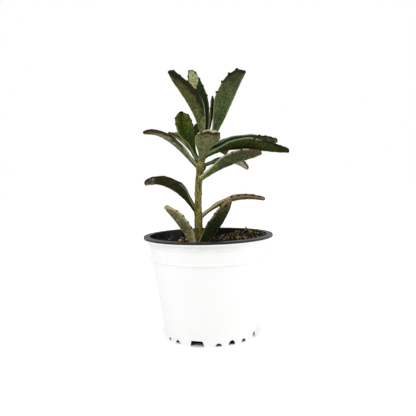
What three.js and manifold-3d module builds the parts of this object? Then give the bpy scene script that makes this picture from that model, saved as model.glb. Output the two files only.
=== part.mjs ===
// A young velvet-leaved kalanchoe in a round 12 cm nursery pot.
// Millimetres, +Z up. The origin is the middle of the pot's underside, on the ground.
// +X is to the right and +Y is away from someone who looks at the front of the plant.

import * as THREE from 'three';
import { mergeVertices } from 'three/addons/utils/BufferGeometryUtils.js';
import Module from 'manifold-3d';

const wasm = await Module();
wasm.setup();

// Clearance between pieces that touch
const GAP = 0.3;

// Vertices closer than this are one
const WELD = 1e-4;

// Pot: one moulding, white outside and black inside, with a flat black lip
const POT = {
  height: 92,
  lipRadius: 60,
  lipInnerRadius: 54.3,
  lipThickness: 2.6,
  lipRounding: 0.7,
  wall: 1.4,
  neckRadius: 56,
  shoulderHeight: 84,
  shoulderDepth: 1,
  collarTopRadius: 54.9,
  beadHeight: 72,
  beadRadius: 53.2,
  beadProud: 0.9,
  beadThickness: 2.2,
  footRadius: 42.7,
  footRounding: 0.3,
  skirtWall: 1.8,
  floorHeight: 6.6,
  floorThickness: 1.3,
  padRadius: 21,
  padSlope: 3,
  turnedSides: 48,
};

// Round drain holes in the floor
const DRAIN = { count: 8, radius: 3.5, circleRadius: 32, sides: 12 };

// Gaps in the foot, by bearing in degrees from the front, and the same again at the back.
// The widest is a trapezium, narrower at the top, and the others are arches.
const FOOT_GAPS = [
  { bearing: -58, width: 3.5, height: 2.5 },
  { bearing: -42, width: 5, height: 3 },
  { bearing: -17, width: 14.5, height: 5 },
  { bearing: 9, width: 5.5, height: 2.8 },
  { bearing: 25, width: 6.2, height: 4.3 },
  { bearing: 42, width: 5, height: 3 },
  { bearing: 66, width: 5.5, height: 4.5 },
];
const WIDE_GAP = 10;
const WIDE_GAP_TOP_SHARE = 0.62;
const ARCH_HANDLE = 4 / 3;
const ARCH_STEPS = 6;
const CUT_PAST_WALL = 3;

// Potting mix: low at the left, heaped up to the lip at the right
const SOIL = {
  level: 84.5,
  heap: 7,
  heapBearing: 15,
  heapFrom: 0.34,
  heapTo: 0.95,
  roughness: 0.3,
  edgeRadius: 53.4,
  rings: 7,
  sectors: 36,
  innerRing: 2,
};

// Stem: points up its middle, and its radius there
const STEM = [
  { x: -9, z: 69, radius: 4.2 },
  { x: -9, z: 84, radius: 4.2 },
  { x: -8.8, z: 100, radius: 3.9 },
  { x: -8.8, z: 122, radius: 3.3 },
  { x: -7.6, z: 142, radius: 3.2 },
  { x: -5.2, z: 158, radius: 3.3 },
  { x: -1.6, z: 171, radius: 2.8 },
  { x: 0.8, z: 180, radius: 1.8 },
];
const STEM_SIDES = 12;
const STEM_STEPS = 20;

// Leaves, from the soil up.
// height: where the leaf leaves the stem. bearing: 0 is right, 90 is away, 180 is left.
// reach, lift and sway: its tip from that point, outwards, upwards and sideways.
// rise and droop: the slope of its midrib at the stem and at the tip, in degrees.
// halfWidth: midrib to edge. fold and roll: how far each half is folded up from flat, and
// how far the blade is rolled about its midrib, in degrees.
// stalk: width at the stem as a share of the widest. widest: how far out it is widest.
const LEAVES = [
  {
    name: 'leaf_lowest_left', height: 77, bearing: 200, reach: 32.5, lift: 42, sway: 1, rise: 60, droop: 40,
    halfWidth: 9, fold: 45, roll: 0, stalk: 0.65, widest: 0.62, bluntness: 2.8, thickness: 4,
  },
  {
    name: 'leaf_lowest_right', height: 77, bearing: 325, reach: 36, lift: 47, sway: 2, rise: 50, droop: 66,
    halfWidth: 9.4, fold: 50, roll: 0, stalk: 0.7, widest: 0.62, bluntness: 2.5, thickness: 4,
  },
  {
    name: 'leaf_second_left', height: 113.5, bearing: 178, reach: 48.6, lift: 25.5, sway: 1, rise: 61, droop: -30,
    halfWidth: 10, fold: 55, roll: 0, stalk: 0.28, widest: 0.4, bluntness: 2.2, thickness: 3.8,
  },
  {
    name: 'leaf_second_right', height: 108, bearing: 8, reach: 64.5, lift: 14.5, sway: 0, rise: 42, droop: -17,
    halfWidth: 5.6, fold: 40, roll: 0, stalk: 0.35, widest: 0.63, bluntness: 2.5, thickness: 3.5,
  },
  {
    name: 'leaf_third_right', height: 143.5, bearing: 348, reach: 59, lift: 21, sway: 0.5, rise: 33, droop: 9,
    halfWidth: 11.8, fold: 55, roll: 0, stalk: 0.36, widest: 0.62, bluntness: 2.4, thickness: 3.4,
  },
  {
    name: 'bud_third_right', height: 149, bearing: 345, reach: 6.5, lift: 6, sway: 0, rise: 55, droop: 60,
    halfWidth: 1.9, fold: 40, roll: 0, stalk: 0.5, widest: 0.5, bluntness: 2.2, thickness: 1.6,
  },
  {
    name: 'leaf_fourth_left', height: 154.5, bearing: 184, reach: 51.5, lift: 31.8, sway: 3.5, rise: 48, droop: -13,
    halfWidth: 5.7, fold: 45, roll: 0, stalk: 0.4, widest: 0.5, bluntness: 2.5, thickness: 3.6,
  },
  {
    name: 'leaf_fourth_right', height: 155.5, bearing: 30, reach: 56, lift: -3.5, sway: 4, rise: 22, droop: -38,
    halfWidth: 6.3, fold: 45, roll: 0, stalk: 0.28, widest: 0.6, bluntness: 2.6, thickness: 3.1,
  },
  {
    name: 'leaf_fifth_left', height: 158.5, bearing: 162, reach: 18, lift: 48.5, sway: -3, rise: 60, droop: 103,
    halfWidth: 10.2, fold: 45, roll: -50, stalk: 0.21, widest: 0.62, bluntness: 2.8, thickness: 3.4,
  },
  {
    name: 'leaf_fifth_front', height: 160.5, bearing: 276, reach: 32, lift: 22.5, sway: 7.5, rise: 33, droop: 16,
    halfWidth: 12.3, fold: 40, roll: 0, stalk: 0.26, widest: 0.62, bluntness: 2.5, thickness: 3.2,
  },
  {
    name: 'leaf_fifth_back', height: 160, bearing: 122, reach: 50.5, lift: 30, sway: 7, rise: 36, droop: 10,
    halfWidth: 5.5, fold: 50, roll: 0, stalk: 0.3, widest: 0.65, bluntness: 2.5, thickness: 2.8,
  },
  {
    name: 'leaf_sixth_right', height: 164, bearing: 350, reach: 79.5, lift: 2.6, sway: 3, rise: 30, droop: -4,
    halfWidth: 11.5, fold: 55, roll: 0, stalk: 0.2, widest: 0.65, bluntness: 2.4, thickness: 3.5,
  },
  {
    name: 'leaf_sixth_back_left', height: 166, bearing: 100, reach: 20, lift: 31, sway: 1, rise: 46, droop: 85,
    halfWidth: 8, fold: 45, roll: 0, stalk: 0.25, widest: 0.6, bluntness: 2.5, thickness: 3,
  },
  {
    name: 'leaf_sixth_back_right', height: 166, bearing: 56, reach: 46, lift: 2, sway: 4, rise: 30, droop: -25,
    halfWidth: 9, fold: 40, roll: 0, stalk: 0.25, widest: 0.6, bluntness: 2.5, thickness: 3,
  },
  {
    name: 'leaf_seventh_right', height: 169.5, bearing: 18, reach: 76, lift: 8.5, sway: 0.5, rise: 28, droop: 5,
    halfWidth: 9.6, fold: 50, roll: 0, stalk: 0.5, widest: 0.6, bluntness: 2.5, thickness: 3.2,
  },
  {
    name: 'leaf_top_left', height: 174, bearing: 188, reach: 32.8, lift: 68, sway: -1.5, rise: 88, droop: 55,
    halfWidth: 12.8, fold: 55, roll: 12, stalk: 0.22, widest: 0.52, bluntness: 1.9, thickness: 3.1,
  },
  {
    name: 'leaf_top_right', height: 174, bearing: 352, reach: 38, lift: 66.5, sway: 1, rise: 54, droop: 60,
    halfWidth: 15.5, fold: 55, roll: -15, stalk: 0.2, widest: 0.62, bluntness: 2.7, thickness: 3.8,
  },
  {
    name: 'leaf_top_back', height: 176, bearing: 88, reach: 36, lift: 76, sway: 14, rise: 58, droop: 66,
    halfWidth: 9.8, fold: 40, roll: 14, stalk: 0.3, widest: 0.55, bluntness: 1.7, thickness: 2.7,
  },
  {
    name: 'leaf_young', height: 178.5, bearing: 10, reach: 7.5, lift: 42, sway: 0.5, rise: 82, droop: 92,
    halfWidth: 3, fold: 50, roll: 0, stalk: 0.28, widest: 0.66, bluntness: 2.3, thickness: 2.2,
  },
];

// What all the blades share. Shares run from 0 at the stem to 1 at the tip.
const BLADE = {
  stations: 11,
  sectionPoints: 5,
  tipCrowding: 1.25,
  baseHandle: 0.38,
  tipHandle: 0.34,
  widensFrom: 0.06,
  keelSoftness: 0.25,
  edgeThinning: 0.8,
  foldAtStem: 0.45,
  foldAtTip: 0.7,
  foldedBy: 0.35,
  rolledBy: 0.6,
  thinsFrom: 0.55,
  tipThickness: 0.5,
  fullThicknessWidth: 2,
};

// Pieces of bark lying on the mix: where, how long, and which way they point
const BARK_CHIPS = [
  { x: 19, y: 17, length: 4.2, turn: 20 },
  { x: 28, y: 4, length: 4.8, turn: 75 },
  { x: 41, y: 10, length: 4.4, turn: 130 },
  { x: 39, y: 28, length: 3.8, turn: 10 },
  { x: 25, y: 27, length: 3.4, turn: 50 },
  { x: 13, y: 22, length: 3.6, turn: 100 },
  { x: 47, y: 19, length: 3.2, turn: 160 },
  { x: -16, y: 31, length: 4, turn: 30 },
  { x: 6, y: -31, length: 4.6, turn: 120 },
  { x: -24, y: -27, length: 3.8, turn: 65 },
  { x: 25, y: -31, length: 3.4, turn: 0 },
  { x: -3, y: 42, length: 4.2, turn: 85 },
];
const CHIP = { widthShare: 0.62, heightShare: 0.42, wobble: 0.16, waveX: 2.3, waveY: 1.7 };

// Round yellow beads of plant food
const FOOD_BEADS = [
  { x: -26.5, y: 2, radius: 1.5 },
  { x: -20.5, y: 8, radius: 1.4 },
];

// A dead sprig standing in the mix at the back right
const SPRIG = { x: 39.5, y: 34, height: 5, radius: 0.6, lean: 12, sides: 6, steps: 4 };

const COLOURS = {
  pot: 0xf2f2ef,
  soil: 0x2b2019,
  bark: 0x6b5234,
  food: 0xc08a2e,
  sprig: 0xb59a86,
  stem: 0x7d7a45,
  leaf: 0x4d5b34,
};

const { lerp, smoothstep, degToRad: toRadians } = THREE.MathUtils;

function finish(colour, roughness) {
  return new THREE.MeshStandardMaterial({ color: colour, roughness, metalness: 0 });
}

function addPiece(group, name, geometry, material) {
  const mesh = new THREE.Mesh(geometry, material);
  mesh.name = name;
  group.add(mesh);
  return mesh;
}

// A ring of points at one height
function levelRing(x, y, z, radius, sides) {
  const ring = [];
  for (let side = 0; side < sides; side += 1) {
    const angle = 2 * Math.PI * side / sides;
    ring.push(new THREE.Vector3(x + radius * Math.cos(angle), y + radius * Math.sin(angle), z));
  }
  return ring;
}

// A closed skin over a row of rings with the same number of points, flat at both ends
function skinGeometry(rings) {
  const count = rings[0].length;
  const positions = rings.flat().flatMap((point) => point.toArray());
  const triangles = [];
  for (let row = 0; row < rings.length - 1; row += 1) {
    for (let i = 0; i < count; i += 1) {
      const a = row * count + i;
      const b = row * count + (i + 1) % count;
      triangles.push(a, b, b + count, a, b + count, a + count);
    }
  }
  const last = rings.length - 1;
  for (const [row, isStart] of [[0, true], [last, false]]) {
    const hub = positions.length / 3;
    const middle = new THREE.Vector3();
    rings[row].forEach((point) => middle.addScaledVector(point, 1 / count));
    positions.push(...middle.toArray());
    for (let i = 0; i < count; i += 1) {
      const a = row * count + i;
      const b = row * count + (i + 1) % count;
      triangles.push(hub, isStart ? b : a, isStart ? a : b);
    }
  }
  const geometry = new THREE.BufferGeometry();
  geometry.setAttribute('position', new THREE.Float32BufferAttribute(positions, 3));
  geometry.setIndex(triangles);
  geometry.computeVertexNormals();
  return geometry;
}

// Solids for joining and cutting
function solidFrom(geometry) {
  const bare = geometry.clone();
  bare.deleteAttribute('normal');
  bare.deleteAttribute('uv');
  const merged = mergeVertices(bare, WELD);
  return new wasm.Manifold(new wasm.Mesh({
    numProp: 3,
    vertProperties: new Float32Array(merged.attributes.position.array),
    triVerts: new Uint32Array(merged.index.array),
  }));
}

function geometryFrom(solid) {
  const mesh = solid.getMesh();
  const geometry = new THREE.BufferGeometry();
  geometry.setAttribute('position', new THREE.Float32BufferAttribute(mesh.vertProperties, 3));
  geometry.setIndex(Array.from(mesh.triVerts));
  geometry.computeVertexNormals();
  return geometry;
}

function largestBody(solid) {
  const bodies = solid.decompose();
  return bodies.reduce((best, body) => (body.volume() > best.volume() ? body : best));
}

// Pot
function potWallRadius(height) {
  return lerp(POT.footRadius, POT.beadRadius, height / POT.beadHeight);
}

function potProfile() {
  const { height, lipRadius, lipRounding: round, wall, beadHeight, footRounding } = POT;
  const skirtInside = POT.footRadius - POT.skirtWall;
  const lipUnderside = height - POT.lipThickness;
  const floorUnderside = POT.floorHeight - POT.floorThickness;
  const padEdge = POT.padRadius + POT.padSlope;
  const halfBead = POT.beadThickness / 2;
  const shoulderFoot = POT.shoulderHeight - POT.shoulderDepth / 2;
  const shoulderTop = POT.shoulderHeight + POT.shoulderDepth / 2;
  const profile = [
    [0, 0],
    [POT.padRadius, 0],
    [padEdge, floorUnderside],
    [skirtInside, floorUnderside],
    [skirtInside, 0],
    [POT.footRadius - footRounding, 0],
    [POT.footRadius, footRounding],
    [potWallRadius(beadHeight - halfBead), beadHeight - halfBead],
    [POT.beadRadius + POT.beadProud, beadHeight - halfBead / 2],
    [POT.beadRadius + POT.beadProud, beadHeight + halfBead / 2],
    [potWallRadius(beadHeight + halfBead), beadHeight + halfBead],
    [POT.collarTopRadius, shoulderFoot],
    [POT.neckRadius, shoulderTop],
    [POT.neckRadius, lipUnderside],
    [lipRadius - round, lipUnderside],
    [lipRadius, lipUnderside + round],
    [lipRadius, height - round],
    [lipRadius - round, height],
    [POT.lipInnerRadius + round, height],
    [POT.lipInnerRadius, height - round],
    [POT.lipInnerRadius, shoulderTop],
    [POT.collarTopRadius - wall, shoulderFoot],
    [potWallRadius(beadHeight) - wall, beadHeight],
    [potWallRadius(POT.floorHeight) - wall, POT.floorHeight],
    [padEdge, POT.floorHeight],
    [POT.padRadius, POT.floorThickness],
    [0, POT.floorThickness],
  ];
  return profile.map(([radius, z]) => new THREE.Vector2(radius, z));
}

function footGapGeometry(gap) {
  const half = gap.width / 2;
  const shape = new THREE.Shape();
  shape.moveTo(-half, -CUT_PAST_WALL);
  shape.lineTo(half, -CUT_PAST_WALL);
  if (gap.width > WIDE_GAP) {
    shape.lineTo(half * WIDE_GAP_TOP_SHARE, gap.height);
    shape.lineTo(-half * WIDE_GAP_TOP_SHARE, gap.height);
  } else {
    const handle = gap.height * ARCH_HANDLE;
    shape.lineTo(half, 0);
    shape.bezierCurveTo(half, handle, -half, handle, -half, 0);
  }
  shape.closePath();
  const depth = POT.skirtWall + 2 * CUT_PAST_WALL;
  const geometry = new THREE.ExtrudeGeometry(shape, { depth, bevelEnabled: false, curveSegments: ARCH_STEPS });
  geometry.rotateX(Math.PI / 2);
  geometry.translate(0, CUT_PAST_WALL + POT.skirtWall - POT.footRadius, 0);
  geometry.rotateZ(toRadians(gap.bearing));
  return geometry;
}

function potGeometry() {
  const turned = new THREE.LatheGeometry(potProfile(), POT.turnedSides);
  turned.rotateX(Math.PI / 2);
  let pot = solidFrom(turned);
  for (const gap of FOOT_GAPS) {
    const cutter = footGapGeometry(gap);
    pot = pot.subtract(solidFrom(cutter));
    pot = pot.subtract(solidFrom(cutter.clone().rotateZ(Math.PI)));
  }
  for (let hole = 0; hole < DRAIN.count; hole += 1) {
    const cutter = new THREE.CylinderGeometry(DRAIN.radius, DRAIN.radius, POT.floorHeight, DRAIN.sides);
    cutter.rotateX(Math.PI / 2);
    cutter.translate(DRAIN.circleRadius, 0, POT.floorHeight);
    cutter.rotateZ(2 * Math.PI * (hole + 0.5) / DRAIN.count);
    pot = pot.subtract(solidFrom(cutter));
  }
  return geometryFrom(pot);
}

// Stem
function stemAt(height) {
  const found = STEM.findIndex((point) => point.z >= height);
  const above = found === -1 ? STEM.length - 1 : Math.max(found, 1);
  const lower = STEM[above - 1];
  const upper = STEM[above];
  const share = (height - lower.z) / (upper.z - lower.z);
  return {
    middle: new THREE.Vector3(lerp(lower.x, upper.x, share), 0, height),
    radius: lerp(lower.radius, upper.radius, share),
  };
}

function stemGeometry(extra) {
  const bottom = STEM[0].z;
  const top = STEM[STEM.length - 1].z;
  const rings = [];
  for (let step = 0; step <= STEM_STEPS; step += 1) {
    const share = step / STEM_STEPS;
    const { middle, radius } = stemAt(lerp(bottom, top, share));
    const stretched = lerp(bottom - extra, top + extra, share);
    rings.push(levelRing(middle.x, middle.y, stretched, radius + extra, STEM_SIDES));
  }
  return skinGeometry(rings);
}

// Leaves
function midribOf(leaf) {
  const bearing = toRadians(leaf.bearing);
  const outward = new THREE.Vector3(Math.cos(bearing), Math.sin(bearing), 0);
  const sideways = new THREE.Vector3(-Math.sin(bearing), Math.cos(bearing), 0);
  const up = new THREE.Vector3(0, 0, 1);
  const { middle, radius } = stemAt(leaf.height);
  const start = middle.clone().addScaledVector(outward, radius / 2);
  const end = middle.clone()
    .addScaledVector(outward, leaf.reach)
    .addScaledVector(sideways, leaf.sway)
    .addScaledVector(up, leaf.lift);
  const length = start.distanceTo(end);
  const level = end.clone().sub(start).setZ(0).normalize();
  const rise = toRadians(leaf.rise);
  const droop = toRadians(leaf.droop);
  const leaving = start.clone()
    .addScaledVector(outward, Math.cos(rise) * length * BLADE.baseHandle)
    .addScaledVector(up, Math.sin(rise) * length * BLADE.baseHandle);
  const arriving = end.clone()
    .addScaledVector(level, -Math.cos(droop) * length * BLADE.tipHandle)
    .addScaledVector(up, -Math.sin(droop) * length * BLADE.tipHandle);
  return { curve: new THREE.CubicBezierCurve3(start, leaving, arriving, end), sideways };
}

function halfWidthAt(leaf, share) {
  const grown = lerp(leaf.stalk, 1, smoothstep(share, BLADE.widensFrom, leaf.widest));
  const beyond = Math.max(0, (share - leaf.widest) / (1 - leaf.widest));
  const closing = Math.sqrt(Math.max(0, 1 - beyond ** leaf.bluntness));
  return Math.max(GAP, leaf.halfWidth * grown * closing);
}

// One cross-section: a shallow V with a rounded keel, thickest along the midrib
function leafSection(leaf, midrib, share, extra) {
  const centre = midrib.curve.getPoint(share);
  const along = midrib.curve.getTangent(share);
  const roll = toRadians(leaf.roll) * smoothstep(share, 0, BLADE.rolledBy);
  const across = midrib.sideways.clone().addScaledVector(along, -along.dot(midrib.sideways)).normalize();
  across.applyAxisAngle(along, roll);
  const upper = new THREE.Vector3().crossVectors(along, across);
  const bladeWidth = halfWidthAt(leaf, share);
  const halfWidth = bladeWidth + extra;
  const opening = lerp(BLADE.foldAtStem, 1, smoothstep(share, 0, BLADE.foldedBy));
  const fold = toRadians(leaf.fold) * opening * lerp(1, BLADE.foldAtTip, share);
  const thinning = lerp(1, BLADE.tipThickness, smoothstep(share, BLADE.thinsFrom, 1));
  const thickness = leaf.thickness * thinning * Math.min(1, bladeWidth / BLADE.fullThicknessWidth);
  const crest = Math.hypot(1, BLADE.keelSoftness) - BLADE.keelSoftness;
  const top = [];
  const bottom = [];
  for (let i = 0; i < BLADE.sectionPoints; i += 1) {
    const u = -1 + 2 * i / (BLADE.sectionPoints - 1);
    const arch = (Math.hypot(u, BLADE.keelSoftness) - BLADE.keelSoftness) / crest;
    const middle = centre.clone()
      .addScaledVector(across, halfWidth * u * Math.cos(fold))
      .addScaledVector(upper, halfWidth * arch * Math.sin(fold));
    const slope = Math.sin(fold) * u / Math.hypot(u, BLADE.keelSoftness) / crest;
    const normal = upper.clone().multiplyScalar(Math.cos(fold)).addScaledVector(across, -slope).normalize();
    const half = thickness / 2 * Math.sqrt(1 - BLADE.edgeThinning * u * u) + extra;
    top.unshift(middle.clone().addScaledVector(normal, half));
    bottom.push(middle.clone().addScaledVector(normal, -half));
  }
  return [...bottom, ...top];
}

// A blade that starts inside the stem, made thicker and wider all round by extra
function bladeSolid(leaf, extra) {
  const midrib = midribOf(leaf);
  const rings = [];
  for (let station = 0; station < BLADE.stations; station += 1) {
    const share = 1 - (1 - station / (BLADE.stations - 1)) ** BLADE.tipCrowding;
    rings.push(leafSection(leaf, midrib, share, extra));
  }
  return solidFrom(skinGeometry(rings));
}

// Potting mix
function soilHeight(x, y) {
  const bearing = toRadians(SOIL.heapBearing);
  const towards = (x * Math.cos(bearing) + y * Math.sin(bearing)) / POT.lipInnerRadius;
  const heap = SOIL.heap * smoothstep(towards, SOIL.heapFrom, SOIL.heapTo);
  const bumps = Math.sin(0.31 * x + 1.2) * Math.cos(0.27 * y - 0.4) + 0.5 * Math.sin(0.6 * y + 0.2 * x);
  return SOIL.level + heap + SOIL.roughness * bumps;
}

function soilSolid() {
  const innerWall = (height) => potWallRadius(height) - POT.wall - GAP;
  const sides = SOIL.sectors;
  const bottom = POT.floorHeight + GAP;
  const padEdge = POT.padRadius + POT.padSlope;
  const shoulderFoot = POT.shoulderHeight - POT.shoulderDepth;
  const rings = [
    levelRing(0, 0, POT.floorThickness + GAP, POT.padRadius - 2 * GAP, sides),
    levelRing(0, 0, bottom, padEdge - GAP, sides),
    levelRing(0, 0, bottom, innerWall(bottom), sides),
    levelRing(0, 0, POT.beadHeight, innerWall(POT.beadHeight), sides),
    levelRing(0, 0, shoulderFoot, POT.collarTopRadius - POT.wall - 2 * GAP, sides),
  ];
  for (let ring = 0; ring <= SOIL.rings; ring += 1) {
    const radius = lerp(SOIL.edgeRadius, SOIL.innerRing, ring / SOIL.rings);
    const points = levelRing(0, 0, 0, radius, sides);
    points.forEach((point) => point.setZ(soilHeight(point.x, point.y)));
    rings.push(points);
  }
  return solidFrom(skinGeometry(rings));
}

// Loose things on the mix
function bareIcosahedron(radius) {
  const geometry = new THREE.IcosahedronGeometry(radius, 1);
  geometry.deleteAttribute('normal');
  geometry.deleteAttribute('uv');
  return mergeVertices(geometry, WELD);
}

function chipGeometry(chip, index) {
  const geometry = bareIcosahedron(chip.length / 2);
  const position = geometry.attributes.position;
  for (let i = 0; i < position.count; i += 1) {
    const wave = CHIP.waveX * position.getX(i) + CHIP.waveY * position.getY(i) + index;
    const wobble = 1 + CHIP.wobble * Math.sin(wave);
    position.setX(i, position.getX(i) * wobble);
    position.setY(i, position.getY(i) * wobble * CHIP.widthShare);
    position.setZ(i, position.getZ(i) * wobble * CHIP.heightShare);
  }
  geometry.computeVertexNormals();
  return geometry;
}

function beadGeometry(bead) {
  const geometry = bareIcosahedron(bead.radius);
  geometry.computeVertexNormals();
  return geometry;
}

function sprigGeometry() {
  const rings = [];
  for (let step = 0; step <= SPRIG.steps; step += 1) {
    const share = step / SPRIG.steps;
    const bend = SPRIG.height * share * share * Math.sin(toRadians(SPRIG.lean));
    rings.push(levelRing(-bend, 0, SPRIG.height * share, SPRIG.radius * (1 - share / 2), SPRIG.sides));
  }
  return skinGeometry(rings);
}

// Sets a loose piece down so that its lowest point is a gap above the mix under it
function restOnSoil(mesh, x, y) {
  mesh.geometry.computeBoundingBox();
  const { min, max } = mesh.geometry.boundingBox;
  const spread = Math.max(max.x - min.x, max.y - min.y) / 2;
  const middle = soilHeight(x, y);
  const around = levelRing(x, y, 0, spread, 8).map((point) => soilHeight(point.x, point.y));
  const ground = Math.max(middle, (middle + Math.max(...around)) / 2);
  mesh.position.set(x, y, ground + GAP - min.z);
}

const pottedPlant = new THREE.Group();
addPiece(pottedPlant, 'pot', potGeometry(), finish(COLOURS.pot, 0.45));

// Each leaf is cut back where the stem is, and where a leaf below it clasps the stem
const plant = new THREE.Group();
addPiece(plant, 'stem', stemGeometry(0), finish(COLOURS.stem, 0.8));
const stemRoom = solidFrom(stemGeometry(GAP));
let plantRoom = stemRoom;
for (const leaf of LEAVES) {
  const blade = largestBody(bladeSolid(leaf, 0).subtract(plantRoom));
  addPiece(plant, leaf.name, geometryFrom(blade), finish(COLOURS.leaf, 0.85));
  plantRoom = plantRoom.add(bladeSolid(leaf, GAP));
}
pottedPlant.add(plant);

addPiece(pottedPlant, 'soil', geometryFrom(soilSolid().subtract(plantRoom)), finish(COLOURS.soil, 0.95));

const looseThings = new THREE.Group();
BARK_CHIPS.forEach((chip, index) => {
  const mesh = addPiece(looseThings, `bark_chip_${index + 1}`, chipGeometry(chip, index), finish(COLOURS.bark, 0.9));
  mesh.rotation.z = toRadians(chip.turn);
  restOnSoil(mesh, chip.x, chip.y);
});
FOOD_BEADS.forEach((bead, index) => {
  const mesh = addPiece(looseThings, `food_bead_${index + 1}`, beadGeometry(bead), finish(COLOURS.food, 0.5));
  restOnSoil(mesh, bead.x, bead.y);
});
restOnSoil(addPiece(looseThings, 'dead_sprig', sprigGeometry(), finish(COLOURS.sprig, 0.8)), SPRIG.x, SPRIG.y);
pottedPlant.add(looseThings);

export default pottedPlant;
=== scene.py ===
"""A young velvet-leaved kalanchoe in a white nursery pot.

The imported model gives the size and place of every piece. Sizes are in millimetres up to the point
where a mesh is made, which is in metres. +Z is up, +X is right and +Y is away from the camera.
"""

import logging
import math
import random
from dataclasses import dataclass, field
from enum import Enum
from typing import Callable

import bmesh
import bpy
from mathutils import Euler, Matrix, Vector, noise

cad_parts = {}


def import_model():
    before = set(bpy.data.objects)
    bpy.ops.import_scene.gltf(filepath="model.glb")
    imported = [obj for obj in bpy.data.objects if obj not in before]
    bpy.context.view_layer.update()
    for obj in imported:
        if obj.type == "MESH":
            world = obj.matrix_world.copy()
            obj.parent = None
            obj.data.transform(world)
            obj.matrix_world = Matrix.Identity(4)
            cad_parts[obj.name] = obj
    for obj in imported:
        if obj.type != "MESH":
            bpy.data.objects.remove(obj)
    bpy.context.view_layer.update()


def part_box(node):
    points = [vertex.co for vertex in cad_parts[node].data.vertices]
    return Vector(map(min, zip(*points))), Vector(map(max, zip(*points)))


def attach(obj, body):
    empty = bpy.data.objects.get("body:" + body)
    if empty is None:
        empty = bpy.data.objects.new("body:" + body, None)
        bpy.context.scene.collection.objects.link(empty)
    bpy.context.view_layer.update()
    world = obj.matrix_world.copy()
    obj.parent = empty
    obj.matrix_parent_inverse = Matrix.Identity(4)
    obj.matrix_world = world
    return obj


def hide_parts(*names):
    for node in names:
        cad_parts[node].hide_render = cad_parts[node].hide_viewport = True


LOG = logging.getLogger("kalanchoe")
MM = 0.001
BODY = "root"
UP = Vector((0.0, 0.0, 1.0))

Colour = tuple[float, float, float, float]
Span = tuple[float, float]
Marks = dict[str, float]
Sockets = dict[str, bpy.types.NodeSocket]

# Between which values of a noise its blobs fade in: broad clouds, and fine grain.
CLOUDY: Span = (0.42, 0.62)
GRAINY: Span = (0.38, 0.62)

# The sockets of the Mix node that carry colours.
MIX_FIRST = 6
MIX_SECOND = 7
MIX_RESULT = 2

# Vertices closer than this, in metres, are one.
MERGE = 1e-6


class Slot(Enum):
    """The record's material slots."""

    POT = "pot"
    SOIL = "soil"
    BARK = "bark"
    PLANT_FOOD = "plant_food"
    DEAD_SPRIG = "dead_sprig"
    STEM = "stem"
    LEAF = "leaf"


def paint(red: int, green: int, blue: int) -> Colour:
    """Turns a screen colour into the linear one that a shader takes.

    Args:
        red: Red, 0 to 255.
        green: Green, 0 to 255.
        blue: Blue, 0 to 255.

    Returns:
        The linear colour, opaque.
    """

    def linear(value: int) -> float:
        """Undoes the screen's curve."""
        share = value / 255
        return share / 12.92 if share <= 0.04045 else ((share + 0.055) / 1.055) ** 2.4

    return (linear(red), linear(green), linear(blue), 1.0)


def clamp(value: float, low: float = 0.0, high: float = 1.0) -> float:
    """Keeps a value between two limits."""
    return max(low, min(high, value))


def lerp(start: float, end: float, share: float) -> float:
    """Goes from start to end as share goes from 0 to 1."""
    return start + (end - start) * share


def smoothstep(value: float, low: float, high: float) -> float:
    """Rises smoothly from 0 at low to 1 at high."""
    share = clamp((value - low) / (high - low))
    return share * share * (3 - 2 * share)


def hump(value: float, middle: float, width: float) -> float:
    """A smooth bump of height 1 about a middle."""
    return math.exp(-(((value - middle) / width) ** 2))


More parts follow.
